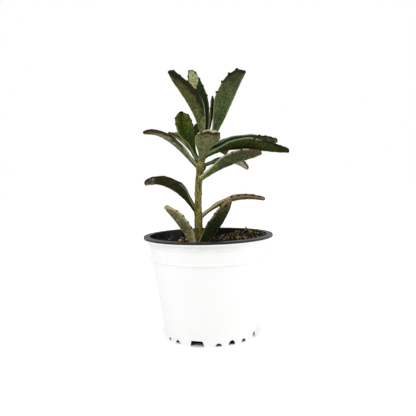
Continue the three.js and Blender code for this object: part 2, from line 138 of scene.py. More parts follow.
@dataclass
class NodeSheet:
    """A shader tree being drawn, with short calls for the nodes that it takes."""

    tree: bpy.types.NodeTree

    def add(self, kind: str, **settings: object) -> bpy.types.Node:
        """Adds a node and sets its properties."""
        node = self.tree.nodes.new(kind)
        for name, value in settings.items():
            setattr(node, name, value)
        return node

    def feed(self, socket: bpy.types.NodeSocket, value: object) -> None:
        """Links a socket to another one, or writes a plain value on it."""
        if isinstance(value, bpy.types.NodeSocket):
            self.tree.links.new(value, socket)
        else:
            socket.default_value = value

    def noise(
        self, place: object, scale: float, detail: float = 3.0, rough: float = 0.55
    ) -> bpy.types.NodeSocket:
        """Cloudy noise, about 0.5 on average.

        Args:
            place: Where the noise is read.
            scale: Blobs in a unit of length.
            detail: Octaves.
            rough: How strong the finer octaves are.

        Returns:
            The noise's value.
        """
        node = self.add("ShaderNodeTexNoise")
        self.feed(node.inputs["Vector"], place)
        self.feed(node.inputs["Scale"], scale)
        self.feed(node.inputs["Detail"], detail)
        self.feed(node.inputs["Roughness"], rough)
        return node.outputs[0]

    def math(self, operation: str, first: object, second: object = 0.0) -> bpy.types.NodeSocket:
        """One sum on one or two values."""
        node = self.add("ShaderNodeMath", operation=operation)
        self.feed(node.inputs[0], first)
        self.feed(node.inputs[1], second)
        return node.outputs[0]

    def times(self, first: object, second: object) -> bpy.types.NodeSocket:
        """The product of two values."""
        return self.math("MULTIPLY", first, second)

    def plus(self, first: object, second: object) -> bpy.types.NodeSocket:
        """The sum of two values."""
        return self.math("ADD", first, second)

    def step(self, value: object, low: float, high: float) -> bpy.types.NodeSocket:
        """Rises smoothly from 0 at low to 1 at high, or falls if high is the lower."""
        rising = high > low
        node = self.add("ShaderNodeMapRange", interpolation_type="SMOOTHSTEP")
        self.feed(node.inputs["Value"], value)
        self.feed(node.inputs["From Min"], min(low, high))
        self.feed(node.inputs["From Max"], max(low, high))
        self.feed(node.inputs["To Min"], 0.0 if rising else 1.0)
        self.feed(node.inputs["To Max"], 1.0 if rising else 0.0)
        return node.outputs["Result"]

    def mix(
        self, share: object, first: object, second: object, blend: str = "MIX"
    ) -> bpy.types.NodeSocket:
        """Goes from the first colour to the second as share goes from 0 to 1."""
        node = self.add("ShaderNodeMix", data_type="RGBA", blend_type=blend)
        self.feed(node.inputs[0], share)
        self.feed(node.inputs[MIX_FIRST], first)
        self.feed(node.inputs[MIX_SECOND], second)
        return node.outputs[MIX_RESULT]

    def layer(self, base: object, colour: object, mask: object, share: float) -> bpy.types.NodeSocket:
        """Lays a colour over a base where a mask shows, at a share of its strength."""
        return self.mix(self.times(mask, share), base, colour)

    def mark(self, name: str) -> bpy.types.NodeSocket:
        """A value written on the mesh's vertices."""
        node = self.add("ShaderNodeAttribute", attribute_type="GEOMETRY", attribute_name=name)
        return node.outputs["Fac"]

    def place(self) -> bpy.types.NodeSocket:
        """Object coordinates, in metres."""
        return self.add("ShaderNodeTexCoord").outputs["Object"]

    def vector(self, x: object, y: object, z: object) -> bpy.types.NodeSocket:
        """A vector of three values."""
        node = self.add("ShaderNodeCombineXYZ")
        for socket, value in zip(node.inputs, (x, y, z)):
            self.feed(socket, value)
        return node.outputs[0]

    def group(self, tree: bpy.types.NodeTree, **values: object) -> bpy.types.Node:
        """Places a shared effect with its own values."""
        node = self.add("ShaderNodeGroup", node_tree=tree)
        for name, value in values.items():
            self.feed(node.inputs[name], value)
        return node


class Effects:
    """Effects that several finishes share, each built once.

    tuft_scale is how coarse tufts of velvet are beside single hairs, and tuft_share how much of the
    height they are. bare_limit is where spots start in the noise when nothing is covered, cover_slope
    how far cover lowers it, and fleck_edge how soft a spot's edge is.
    """

    built: dict[str, bpy.types.NodeTree] = {}
    tuft_scale: float = 0.22
    tuft_share: float = 0.4
    bare_limit: float = 0.68
    cover_slope: float = 0.36
    fleck_edge: Span = (-0.02, 0.07)

    @classmethod
    def tree(
        cls, name: str, inputs: dict[str, float], outputs: list[str]
    ) -> tuple[NodeSheet, Sockets, Sockets]:
        """Starts a shared effect.

        Args:
            name: The effect's name.
            inputs: Values that it takes, and what each is when none is given.
            outputs: Values that it gives.

        Returns:
            Its sheet, its inputs and its outputs by name.
        """
        tree = bpy.data.node_groups.new(name, "ShaderNodeTree")
        tree.interface.new_socket(name="Place", in_out="INPUT", socket_type="NodeSocketVector")
        for label, usual in inputs.items():
            socket = tree.interface.new_socket(name=label, in_out="INPUT", socket_type="NodeSocketFloat")
            socket.default_value = usual
        for label in outputs:
            tree.interface.new_socket(name=label, in_out="OUTPUT", socket_type="NodeSocketFloat")
        source = tree.nodes.new("NodeGroupInput")
        sink = tree.nodes.new("NodeGroupOutput")
        cls.built[name] = tree
        given = {socket.name: socket for socket in source.outputs if socket.name}
        wanted = {socket.name: socket for socket in sink.inputs if socket.name}
        return NodeSheet(tree), given, wanted

    @classmethod
    def down(cls) -> bpy.types.NodeTree:
        """Short dense velvet: a height for its hairs, and a tone that differs from tuft to tuft."""
        if "down" not in cls.built:
            sheet, given, wanted = cls.tree("down", {"Scale": 2600.0}, ["Height", "Tone"])
            hairs = sheet.noise(given["Place"], given["Scale"], 2.0, 0.7)
            tufts = sheet.noise(given["Place"], sheet.times(given["Scale"], cls.tuft_scale), 3.0, 0.6)
            hair_share = 1 - cls.tuft_share
            both = sheet.plus(sheet.times(hairs, hair_share), sheet.times(tufts, cls.tuft_share))
            sheet.feed(wanted["Height"], both)
            sheet.feed(wanted["Tone"], sheet.step(both, *GRAINY))
        return cls.built["down"]

    @classmethod
    def flecks(cls) -> bpy.types.NodeTree:
        """Scattered spots with soft edges. Cover is the share of the surface that they take."""
        if "flecks" not in cls.built:
            sheet, given, wanted = cls.tree("flecks", {"Scale": 600.0, "Cover": 0.2}, ["Mask"])
            cloud = sheet.noise(given["Place"], given["Scale"], 4.0, 0.62)
            limit = sheet.math("SUBTRACT", cls.bare_limit, sheet.times(given["Cover"], cls.cover_slope))
            over = sheet.math("SUBTRACT", cloud, limit)
            sheet.feed(wanted["Mask"], sheet.step(over, *cls.fleck_edge))
        return cls.built["flecks"]


@dataclass
class Surface:
    """A material being made: its sheet, its shader and the place on the piece."""

    name: str
    material: bpy.types.Material = field(init=False)
    sheet: NodeSheet = field(init=False)
    shader: bpy.types.Node = field(init=False)
    place: bpy.types.NodeSocket = field(init=False)

    def __post_init__(self) -> None:
        """Makes the material with its one shader."""
        self.material = bpy.data.materials.new(self.name)
        self.material.use_nodes = True
        self.sheet = NodeSheet(self.material.node_tree)
        self.shader = self.material.node_tree.nodes["Principled BSDF"]
        self.place = self.sheet.place()

    def set(self, **values: object) -> None:
        """Sets shader sockets, named in plain words with underscores for spaces."""
        for name, value in values.items():
            self.sheet.feed(self.shader.inputs[name.replace("_", " ")], value)

    def bump(self, height: bpy.types.NodeSocket, depth: float, strength: float = 1.0) -> None:
        """Raises the surface by a height pattern.

        Args:
            height: The pattern, 0 to 1.
            depth: How deep it goes, in millimetres.
            strength: How much of it is used.
        """
        node = self.sheet.add("ShaderNodeBump")
        self.sheet.feed(node.inputs["Height"], height)
        self.sheet.feed(node.inputs["Distance"], depth * MM)
        self.sheet.feed(node.inputs["Strength"], strength)
        self.sheet.feed(self.shader.inputs["Normal"], node.outputs["Normal"])

    def flecks(
        self, scale: float, cover: float, place: bpy.types.NodeSocket | None = None
    ) -> bpy.types.NodeSocket:
        """A mask of scattered spots, read at the surface's own place unless another is given."""
        where = self.place if place is None else place
        return self.sheet.group(Effects.flecks(), Place=where, Scale=scale, Cover=cover).outputs["Mask"]

    def down(self, scale: float) -> Sockets:
        """Short velvet: its height and its tone, by name."""
        outputs = self.sheet.group(Effects.down(), Place=self.place, Scale=scale).outputs
        return {socket.name: socket for socket in outputs}


@dataclass(frozen=True)
class LeafFinish:
    """Velvet over a fleshy leaf: green or grey, with a pale rim that is partly pale hairs and partly a
    painted highlight, and that turns into a brown edge.

    Along a leaf 0 is the stem and 1 is the tip, across it the edges are -1 and 1, and upper is 1 inside
    the fold and -1 on its back. Widths are in millimetres, in from the edge. A scale is blobs in a
    metre, a cover is the part of the leaf that spots take, and a share is how strong a layer is.
    """

    name: str
    green: Colour
    shade: Colour
    base: Colour
    tip: Colour
    # keel is the pale colour of the lengthwise streaks, and of a painted highlight along the keel.
    keel: Colour
    band: Colour
    # far colours the leaf's far half; on the lit-and-shaded leaf it is a painted lit half.
    far: Colour | None = None
    inside: Colour = paint(66, 80, 44)
    # The pale colour of the bloom and the velvet's tufts. At the edge near the stem it is also a painted
    # highlight of hairs catching light.
    pale_hair_and_rim_light: Colour = paint(150, 150, 122)
    edge: Colour = paint(38, 25, 14)
    base_to: float = 0.35
    tip_from: float = 0.65
    band_width: float = 1.6
    band_from: float = 0.4
    band_rise: float = 0.2
    far_from: float = 0.0
    brown_from: float = 0.45
    streaks: float = 0.15
    mottle: float = 0.25
    bloom: float = 0.12
    rim: float = 0.7
    patch: Colour = paint(150, 126, 84)
    patches: float = 0.0
    grain_low: Colour = (0.5, 0.54, 0.42, 1.0)
    grain_high: Colour = (1.5, 1.45, 1.4, 1.0)
    drift_scale: float = 170.0
    drift_along: float = 0.6
    drift_keel: float = 0.25
    drift_band: float = 2.2
    inside_edge: Span = (-0.1, 0.3)
    inside_share: float = 0.3
    cloud_scale: float = 240.0
    cloud_share: float = 0.75
    far_lean: Span = (0.7, 0.92)
    far_softness: float = 0.04
    patch_scale: float = 260.0
    patch_share: float = 0.8
    grain_scale: float = 620.0
    lanes_across: float = 9.0
    lanes_along: float = 2.2
    lane_scale: float = 1.6
    lane_limits: Span = (0.48, 0.68)
    keel_width: float = 0.11
    keel_share: float = 0.55
    back_edge: Span = (0.1, -0.5)
    mottle_scale: float = 520.0
    mottle_cover: float = 0.42
    bloom_scale: float = 880.0
    bloom_cover: float = 0.5
    band_core: float = 0.6
    band_share: float = 0.9
    brown_rise: float = 0.2
    rim_core: float = 0.3
    rim_share: float = 0.8
    tooth_limits: Span = (0.15, 0.6)
    down_scale: float = 2600.0
    down_share: float = 0.05
    down_depth: float = 0.22
    down_strength: float = 0.7
    sheen_tint: Colour = paint(214, 216, 180)

    def dress(self) -> bpy.types.Material:
        """Makes the material.

        Returns:
            The material, which reads the marks that Leaf writes on its mesh.
        """
        look = Surface(self.name)
        sheet = look.sheet
        marks = {name: sheet.mark(name) for name in ("across", "along", "upper", "edge", "tooth")}
        drift = sheet.math("SUBTRACT", sheet.noise(look.place, self.drift_scale, 4.0, 0.65), 0.5)
        marks["drift"] = drift
        marks["shifted"] = sheet.plus(marks["along"], sheet.times(drift, self.drift_along))
        base = self.flesh(look, marks)
        base = self.veins(sheet, marks, base)
        base = sheet.layer(base, self.edge, look.flecks(self.mottle_scale, self.mottle_cover), self.mottle)
        base = sheet.layer(base, self.pale_hair_and_rim_light, look.flecks(self.bloom_scale, self.bloom_cover), self.bloom)
        base = self.margin(sheet, marks, base)
        down = look.down(self.down_scale)
        base = sheet.layer(base, self.pale_hair_and_rim_light, down["Tone"], self.down_share)
        look.set(Base_Color=base, Roughness=0.85, Specular_IOR_Level=0.06)
        look.set(Sheen_Weight=0.04, Sheen_Roughness=0.35, Sheen_Tint=self.sheen_tint)
        look.bump(down["Height"], self.down_depth, self.down_strength)
        return look.material

    def flesh(self, look: Surface, marks: Sockets) -> bpy.types.NodeSocket:
        """The leaf's colours, from stem to tip, inside the fold, on the far half (a painted lit half on the
        lit-and-shaded leaf), in clouds and in fine grain.

        Args:
            look: The material being made.
            marks: The marks on the mesh, and those worked out from them.

        Returns:
            The colour.
        """
        sheet = look.sheet
        base = sheet.mix(sheet.step(marks["shifted"], self.base_to, 0.0), self.green, self.base)
        base = sheet.mix(sheet.step(marks["shifted"], self.tip_from, 1.0), base, self.tip)
        within = sheet.step(marks["upper"], *self.inside_edge)
        base = sheet.layer(base, self.inside, within, self.inside_share)
        clouds = sheet.step(sheet.noise(look.place, self.cloud_scale, 4.0, 0.6), *CLOUDY)
        base = sheet.layer(base, self.shade, clouds, self.cloud_share)
        # The far half gets its own colour; on the lit-and-shaded leaf this is a painted lit half.
        if self.far:
            leaning = sheet.plus(marks["across"], sheet.step(marks["along"], *self.far_lean))
            soft = self.far_softness
            base = sheet.mix(sheet.step(leaning, self.far_from - soft, self.far_from + soft), base, self.far)
        if self.patches:
            worn = look.flecks(self.patch_scale, self.patches)
            base = sheet.layer(base, self.patch, worn, self.patch_share)
        grain = sheet.step(sheet.noise(look.place, self.grain_scale, 3.0, 0.6), *GRAINY)
        return sheet.mix(1.0, base, sheet.mix(grain, self.grain_low, self.grain_high), "MULTIPLY")

    def veins(self, sheet: NodeSheet, marks: Sockets, base: bpy.types.NodeSocket) -> bpy.types.NodeSocket:
        """Lays faint lengthwise streaks, and the pale line of the keel on the leaf's back, a painted
        highlight of the ridge.

        Args:
            sheet: The material's sheet.
            marks: The marks on the mesh, and those worked out from them.
            base: The colour below.

        Returns:
            The colour with its veins.
        """
        lanes_x = sheet.times(marks["across"], self.lanes_across)
        lanes_y = sheet.times(marks["along"], self.lanes_along)
        lanes = sheet.vector(lanes_x, lanes_y, marks["upper"])
        lane = sheet.step(sheet.noise(lanes, self.lane_scale, 4.0, 0.6), *self.lane_limits)
        base = sheet.layer(base, self.keel, lane, self.streaks)
        # A pale line along the keel on the leaf's back: a painted highlight of the ridge.
        aside = sheet.math("ABSOLUTE", marks["across"])
        from_keel = sheet.plus(aside, sheet.times(marks["drift"], self.drift_keel))
        rib = sheet.times(sheet.step(from_keel, self.keel_width, 0.0), self.keel_share)
        return sheet.mix(sheet.times(rib, sheet.step(marks["upper"], *self.back_edge)), base, self.keel)

    def margin(self, sheet: NodeSheet, marks: Sockets, base: bpy.types.NodeSocket) -> bpy.types.NodeSocket:
        """Lays the band along the edge, the pale rim of hairs and painted highlight that browns towards the
        tip, and the dark teeth.

        Args:
            sheet: The material's sheet.
            marks: The marks on the mesh, and those worked out from them.
            base: The colour below.

        Returns:
            The colour with its margin.
        """
        ragged = sheet.plus(marks["edge"], sheet.times(marks["drift"], self.drift_band * self.band_width))
        near = sheet.step(ragged, self.band_width, self.band_width * self.band_core)
        begun = sheet.step(marks["shifted"], self.band_from, self.band_from + self.band_rise)
        base = sheet.layer(base, self.band, sheet.times(near, begun), self.band_share)
        # The pale rim near the stem is partly pale hairs and partly a painted highlight; towards the tip it
        # browns into the edge.
        browning = sheet.step(marks["shifted"], self.brown_from, self.brown_from + self.brown_rise)
        rim = sheet.step(marks["edge"], self.rim, self.rim * self.rim_core)
        base = sheet.layer(base, sheet.mix(browning, self.pale_hair_and_rim_light, self.edge), rim, self.rim_share)
        return sheet.mix(sheet.step(marks["tooth"], *self.tooth_limits), base, self.edge)


OLIVE = LeafFinish(
    "olive_velvet", green=paint(74, 80, 36), shade=paint(52, 56, 20), base=paint(106, 122, 76),
    tip=paint(58, 44, 20), keel=paint(150, 132, 84), band=paint(22, 18, 4), band_width=5.4, band_from=0.25,
    base_to=0.62, brown_from=0.4, streaks=0.1, mottle=0.22, bloom=0.06,
)
# Painted light and shade: the far colour is a painted lit half, and the dark greens are a painted shaded
# half.
LIT_AND_SHADED = LeafFinish(
    "two_tone_velvet", green=paint(22, 38, 10), shade=paint(12, 24, 5), base=paint(12, 24, 6),
    tip=paint(60, 74, 38), keel=paint(90, 104, 62), band=paint(50, 34, 18), far=paint(158, 162, 118),
    inside=paint(22, 40, 12), pale_hair_and_rim_light=paint(96, 110, 70), band_width=1.6, band_from=0.8, brown_from=0.6,
    mottle=0.08, bloom=0.06, far_from=-0.1,
)
FRESH = LeafFinish(
    "fresh_green_velvet", green=paint(64, 78, 42), shade=paint(42, 56, 28), base=paint(48, 62, 30),
    tip=paint(28, 18, 6), keel=paint(150, 158, 124), band=paint(34, 22, 8), pale_hair_and_rim_light=paint(140, 150, 110),
    inside=paint(50, 66, 30), tip_from=0.6, band_width=3.6, band_from=0.74, band_rise=0.1, brown_from=0.6,
    streaks=0.22, mottle=0.1, bloom=0.08,
)
DEEP = LeafFinish(
    "deep_green_velvet", green=paint(52, 72, 18), shade=paint(30, 48, 10), base=paint(22, 38, 8),
    tip=paint(104, 112, 38), keel=paint(66, 84, 30), band=paint(34, 26, 8), inside=paint(34, 52, 12),
    pale_hair_and_rim_light=paint(110, 120, 76), tip_from=0.4, band_width=1.4, band_from=0.85, brown_from=0.75, streaks=0.08,
    mottle=0.2, bloom=0.06,
)
FELT = LeafFinish(
    "grey_felt", green=paint(108, 110, 70), shade=paint(76, 78, 40), base=paint(84, 100, 42),
    tip=paint(104, 92, 66), keel=paint(116, 118, 80), band=paint(40, 26, 16), pale_hair_and_rim_light=paint(180, 178, 148),
    inside=paint(96, 98, 60), band_width=6.0, band_from=0.7, brown_from=1.3, streaks=0.35, mottle=0.14,
    bloom=0.16, rim=0.9,
)
SILVER_BROWN = LeafFinish(
    "silver_brown_velvet", green=paint(130, 128, 100), shade=paint(94, 94, 66), base=paint(56, 86, 28),
    tip=paint(94, 80, 54), keel=paint(172, 166, 138), band=paint(46, 40, 24), base_to=0.6, band_width=2.4,
    band_from=0.2, brown_from=0.3, mottle=0.4, bloom=0.2,
)
TAN_BACK = LeafFinish(
    "tan_back_velvet", green=paint(132, 124, 86), shade=paint(98, 94, 56), base=paint(60, 80, 32),
    tip=paint(104, 84, 54), keel=paint(168, 156, 118), band=paint(84, 62, 38), mottle=0.3, bloom=0.15,
)
NIGHT = LeafFinish(
    "night_green_velvet", green=paint(34, 54, 18), shade=paint(14, 32, 8), base=paint(18, 66, 16),
    tip=paint(92, 86, 56), keel=paint(84, 92, 60), band=paint(26, 20, 8), pale_hair_and_rim_light=paint(118, 126, 96),
    inside=paint(26, 42, 14), tip_from=0.6, band_width=1.3, band_from=0.6, brown_from=0.55, mottle=0.25,
    bloom=0.08,
)
DARK_OLIVE = LeafFinish(
    "dark_olive_velvet", green=paint(52, 62, 12), shade=paint(30, 40, 4), base=paint(34, 96, 22),
    tip=paint(32, 34, 10), keel=paint(78, 80, 42), band=paint(22, 18, 6), pale_hair_and_rim_light=paint(124, 134, 102),
    inside=paint(40, 54, 16), base_to=0.36, tip_from=0.7, band_width=1.8, band_from=0.55, brown_from=0.5,
    streaks=0.08, mottle=0.3, bloom=0.06, rim=1.2,
)
SPECKLED = LeafFinish(
    "speckled_velvet", green=paint(58, 72, 38), shade=paint(34, 46, 20), base=paint(110, 146, 56),
    tip=paint(72, 54, 34), keel=paint(176, 174, 144), band=paint(84, 70, 42), pale_hair_and_rim_light=paint(182, 182, 146),
    inside=paint(60, 74, 38), base_to=0.42, tip_from=0.7, band_width=3.0, band_from=0.5, brown_from=0.75,
    mottle=0.3, bloom=0.1, rim=1.0,
)
PALE_TIP = LeafFinish(
    "pale_tip_velvet", green=paint(66, 82, 36), shade=paint(42, 58, 22), base=paint(42, 70, 20),
    tip=paint(196, 190, 168), keel=paint(162, 160, 134), band=paint(92, 68, 46), inside=paint(60, 74, 38),
    tip_from=0.4, mottle=0.2, bloom=0.18,
)
CAPPED = LeafFinish(
    "capped_velvet", green=paint(28, 40, 12), shade=paint(16, 26, 5), base=paint(26, 44, 12),
    tip=paint(158, 150, 128), keel=paint(146, 124, 80), band=paint(54, 40, 22), pale_hair_and_rim_light=paint(124, 114, 80),
    inside=paint(40, 52, 20), tip_from=0.8, band_width=1.3, band_from=0.35, brown_from=0.35, streaks=0.06,
    mottle=0.34, bloom=0.1, patch=paint(70, 66, 38), patches=0.12,
)
BLEACHED = LeafFinish(
    "bleached_velvet", green=paint(122, 134, 98), shade=paint(92, 104, 68), base=paint(206, 172, 128),
    tip=paint(138, 112, 78), keel=paint(160, 132, 88), band=paint(190, 174, 130), pale_hair_and_rim_light=paint(210, 200, 164),
    inside=paint(104, 116, 76), edge=paint(132, 104, 68), base_to=0.6, tip_from=0.8, band_width=2.6,
    band_from=0.1, brown_from=0.8, mottle=0.24, bloom=0.16, patch=paint(158, 124, 78), patches=0.32, rim=1.0,
)
TAN_STRIP = LeafFinish(
    "tan_strip_velvet", green=paint(118, 112, 70), shade=paint(74, 80, 38), base=paint(60, 78, 30),
    tip=paint(112, 96, 62), keel=paint(160, 140, 100), band=paint(160, 138, 98), pale_hair_and_rim_light=paint(186, 170, 132),
    base_to=0.75, tip_from=0.6, band_width=2.2, band_from=0.25, brown_from=0.4, mottle=0.4, bloom=0.14,
)
DUSKY = LeafFinish(
    "dusky_velvet", green=paint(24, 42, 14), shade=paint(14, 28, 6), base=paint(44, 62, 24),
    tip=paint(104, 84, 52), keel=paint(116, 106, 68), band=paint(140, 118, 78), pale_hair_and_rim_light=paint(134, 128, 92),
    inside=paint(30, 42, 16), tip_from=0.75, band_width=1.8, band_from=0.45, brown_from=0.9, mottle=0.15,
    bloom=0.16, patch=paint(118, 98, 62), patches=0.1, rim=0.9,
)
YOUNG = LeafFinish(
    "young_velvet", green=paint(24, 44, 16), shade=paint(16, 30, 8), base=paint(36, 54, 20),
    tip=paint(84, 62, 38), keel=paint(80, 88, 52), band=paint(64, 42, 26), far=paint(132, 98, 70),
    inside=paint(24, 44, 16), band_width=0.8, mottle=0.2, bloom=0.06,
)


@dataclass(frozen=True)
class StemFinish:
    """Olive bark with lengthwise streaks, brown flecks and dark scars."""

    name: str = "stem_velvet"
    green: Colour = paint(126, 118, 48)
    shade: Colour = paint(62, 60, 18)
    pale: Colour = paint(186, 174, 108)
    scar: Colour = paint(40, 28, 16)

    stretch: float = 0.22
    streak_scale: float = 420.0
    pale_scale: float = 900.0
    pale_cover: float = 0.4
    pale_share: float = 0.6
    fleck_scale: float = 760.0
    fleck_cover: float = 0.34
    fleck_share: float = 0.55
    down_scale: float = 2200.0
    down_depth: float = 0.3
    down_strength: float = 0.8
    sheen_tint: Colour = paint(225, 222, 180)

    def dress(self) -> bpy.types.Material:
        """Makes the material, which reads the marks that Stem writes on its mesh."""
        look = Surface(self.name)
        sheet = look.sheet
        mapping = sheet.add("ShaderNodeMapping")
        sheet.feed(mapping.inputs["Vector"], look.place)
        sheet.feed(mapping.inputs["Scale"], Vector((1.0, 1.0, self.stretch)))
        stretched = mapping.outputs[0]
        streaks = sheet.step(sheet.noise(stretched, self.streak_scale, 4.0, 0.6), *CLOUDY)
        base = sheet.mix(streaks, self.green, self.shade)
        pale = look.flecks(self.pale_scale, self.pale_cover, stretched)
        base = sheet.layer(base, self.pale, pale, self.pale_share)
        flecks = look.flecks(self.fleck_scale, self.fleck_cover)
        base = sheet.layer(base, self.scar, flecks, self.fleck_share)
        base = sheet.mix(sheet.mark("scar"), base, self.scar)
        look.set(Base_Color=base, Roughness=0.8, Specular_IOR_Level=0.3)
        look.set(Sheen_Weight=0.08, Sheen_Roughness=0.5, Sheen_Tint=self.sheen_tint)
        look.bump(look.down(self.down_scale)["Height"], self.down_depth, self.down_strength)
        return look.material


@dataclass(frozen=True)
class PlasticFinish:
    """Moulded plastic with a faint orange peel, a few scuffs and a little dust."""

    name: str
    colour: Colour
    worn: Colour
    roughness: float
    dust: float
    gloss: float
    peel_scale: float = 900.0
    peel_depth: float = 0.03
    scuff_scale: float = 140.0
    scuff_cover: float = 0.12
    haze_scale: float = 60.0
    haze: float = 0.04

    def dress(self) -> bpy.types.Material:
        """Makes the material."""
        look = Surface(self.name)
        sheet = look.sheet
        scuffs = look.flecks(self.scuff_scale, self.scuff_cover)
        base = sheet.layer(self.colour, self.worn, scuffs, self.dust)
        haze = sheet.times(sheet.noise(look.place, self.haze_scale), self.haze)
        rough = sheet.plus(self.roughness - self.haze / 2, haze)
        look.set(Base_Color=base, Roughness=rough, Specular_IOR_Level=self.gloss)
        look.bump(sheet.noise(look.place, self.peel_scale, 2.0, 0.5), self.peel_depth, 0.5)
        return look.material


WHITE_PLASTIC = PlasticFinish("white_plastic", paint(246, 247, 246), paint(238, 238, 236), 0.3, 0.1, 0.9)
BLACK_PLASTIC = PlasticFinish("black_plastic", paint(8, 7, 11), paint(26, 24, 24), 0.34, 0.3, 0.45)


@dataclass(frozen=True)
class GrainFinish:
    """Loose plant matter whose bits each have a tone of their own, from dark to light."""

    name: str
    dark: Colour
    middle: Colour
    light: Colour
    scale: float
    roughness: float = 0.92
    shift: float = 0.7
    dark_to: float = 0.2
    light_from: float = 0.6
    light_to: float = 0.95
    depth: float = 0.3

    def dress(self) -> bpy.types.Material:
        """Makes the material, which reads the tone written on each bit."""
        look = Surface(self.name)
        sheet = look.sheet
        grain = sheet.noise(look.place, self.scale, 4.0, 0.65)
        drift = sheet.times(sheet.math("SUBTRACT", grain, 0.5), self.shift)
        shifted = sheet.plus(sheet.mark("tone"), drift)
        base = sheet.mix(sheet.step(shifted, self.dark_to, self.light_from), self.dark, self.middle)
        base = sheet.mix(sheet.step(shifted, self.light_from, self.light_to), base, self.light)
        look.set(Base_Color=base, Roughness=self.roughness, Specular_IOR_Level=0.2)
        look.bump(grain, self.depth, 0.9)
        return look.material


PEAT = GrainFinish("peat", paint(5, 4, 5), paint(32, 23, 17), paint(178, 152, 98), 900.0)
BARK = GrainFinish("bark", paint(28, 20, 14), paint(88, 68, 44), paint(160, 140, 92), 1100.0)
DRY_STALK = GrainFinish(
    "dry_stalk", paint(88, 66, 50), paint(150, 124, 100), paint(190, 170, 150), 1300.0
)


@dataclass(frozen=True)
class FoodFinish:
    """The resin coat of a plant food bead."""

    name: str = "plant_food_coat"
    amber: Colour = paint(206, 152, 48)
    dull: Colour = paint(150, 112, 48)
    cloud_scale: float = 900.0
    cloud_limits: Span = (0.42, 0.66)
    pit_scale: float = 1800.0
    pit_depth: float = 0.08

    def dress(self) -> bpy.types.Material:
        """Makes the material."""
        look = Surface(self.name)
        sheet = look.sheet
        clouds = sheet.step(sheet.noise(look.place, self.cloud_scale), *self.cloud_limits)
        base = sheet.mix(clouds, self.amber, self.dull)
        look.set(Base_Color=base, Roughness=0.35, Subsurface_Weight=0.15, Subsurface_Scale=MM)
        look.set(Coat_Weight=0.3, Coat_Roughness=0.2)
        look.bump(sheet.noise(look.place, self.pit_scale), self.pit_depth, 0.6)
        return look.material


@dataclass(frozen=True)
class FloorFinish:
    """Plain pale floor, which glows to the camera past the pot's own shadow; the glow fades in towards the
    pot, a painted soft shadow round its foot.
    """

    name: str = "pale_floor"
    colour: Colour = paint(246, 246, 245)
    dull: Colour = paint(243, 243, 242)
    dull_share: float = 0.3
    cloud_scale: float = 6.0
    glow: float = 0.55
    glow_colour: Colour = paint(255, 255, 255)
    glow_from: float = 40.0
    glow_to: float = 75.0

    def dress(self) -> bpy.types.Material:
        """Makes the material."""
        look = Surface(self.name)
        sheet = look.sheet
        clouds = sheet.noise(look.place, self.cloud_scale, 2.0)
        base = sheet.layer(self.colour, self.dull, clouds, self.dull_share)
        look.set(Base_Color=base, Roughness=0.9, Specular_IOR_Level=0.1)
        seen = sheet.add("ShaderNodeLightPath").outputs["Is Camera Ray"]
        length = sheet.add("ShaderNodeVectorMath", operation="LENGTH")
        sheet.feed(length.inputs[0], look.place)
        # The glow fades in towards the pot: a painted soft shadow round its foot.
        clear = sheet.step(length.outputs["Value"], self.glow_from * MM, self.glow_to * MM)
        strength = sheet.times(sheet.times(seen, clear), self.glow)
        look.set(Emission_Color=self.glow_colour, Emission_Strength=strength)
        return look.material


def start_fresh() -> None:
    """Leaves edit mode and selects nothing."""
    if bpy.context.object and bpy.context.object.mode != "OBJECT":
        bpy.ops.object.mode_set(mode="OBJECT")
    bpy.ops.object.select_all(action="DESELECT")


def make_active(piece: bpy.types.Object) -> None:
    """Selects one piece alone."""
    start_fresh()
    piece.select_set(True)
    bpy.context.view_layer.objects.active = piece


def finish_modifiers(piece: bpy.types.Object) -> None:
    """Applies all the modifiers of a piece, in order."""
    make_active(piece)
    for modifier in list(piece.modifiers):
        bpy.ops.object.modifier_apply(modifier=modifier.name)


def face_outwards(piece: bpy.types.Object, merge: float = 0.0) -> None:
    """Merges doubled vertices, if a distance is given, and turns all faces outwards."""
    make_active(piece)
    bpy.ops.object.mode_set(mode="EDIT")
    bpy.ops.mesh.select_all(action="SELECT")
    if merge:
        bpy.ops.mesh.remove_doubles(threshold=merge)
    bpy.ops.mesh.normals_make_consistent(inside=False)
    bpy.ops.object.mode_set(mode="OBJECT")


def set_place(piece: bpy.types.Object) -> None:
    """Moves a piece's place, turn and size into its mesh."""
    make_active(piece)
    bpy.ops.object.transform_apply(location=True, rotation=True, scale=True)


def write_mark(piece: bpy.types.Object, name: str, values: list[float]) -> None:
    """Writes one value on each vertex."""
    layer = piece.data.attributes.new(name, "FLOAT", "POINT")
    layer.data.foreach_set("value", values)


def join_pieces(name: str, parts: list[bpy.types.Object]) -> bpy.types.Object:
    """Joins parts into one piece."""
    make_active(parts[0])
    for part in parts:
        part.select_set(True)
    bpy.ops.object.join()
    joined = bpy.context.object
    joined.name = name
    return joined


def register(piece: bpy.types.Object, nodes: list[str]) -> None:
    """Puts a finished piece on the body, for the nodes that it stands for.

    Args:
        piece: The piece, with its place in its mesh.
        nodes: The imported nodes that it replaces.
    """
    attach(piece, BODY)
    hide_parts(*nodes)
    LOG.info("%s: %d faces, for %s", piece.name, len(piece.data.polygons), ", ".join(nodes))


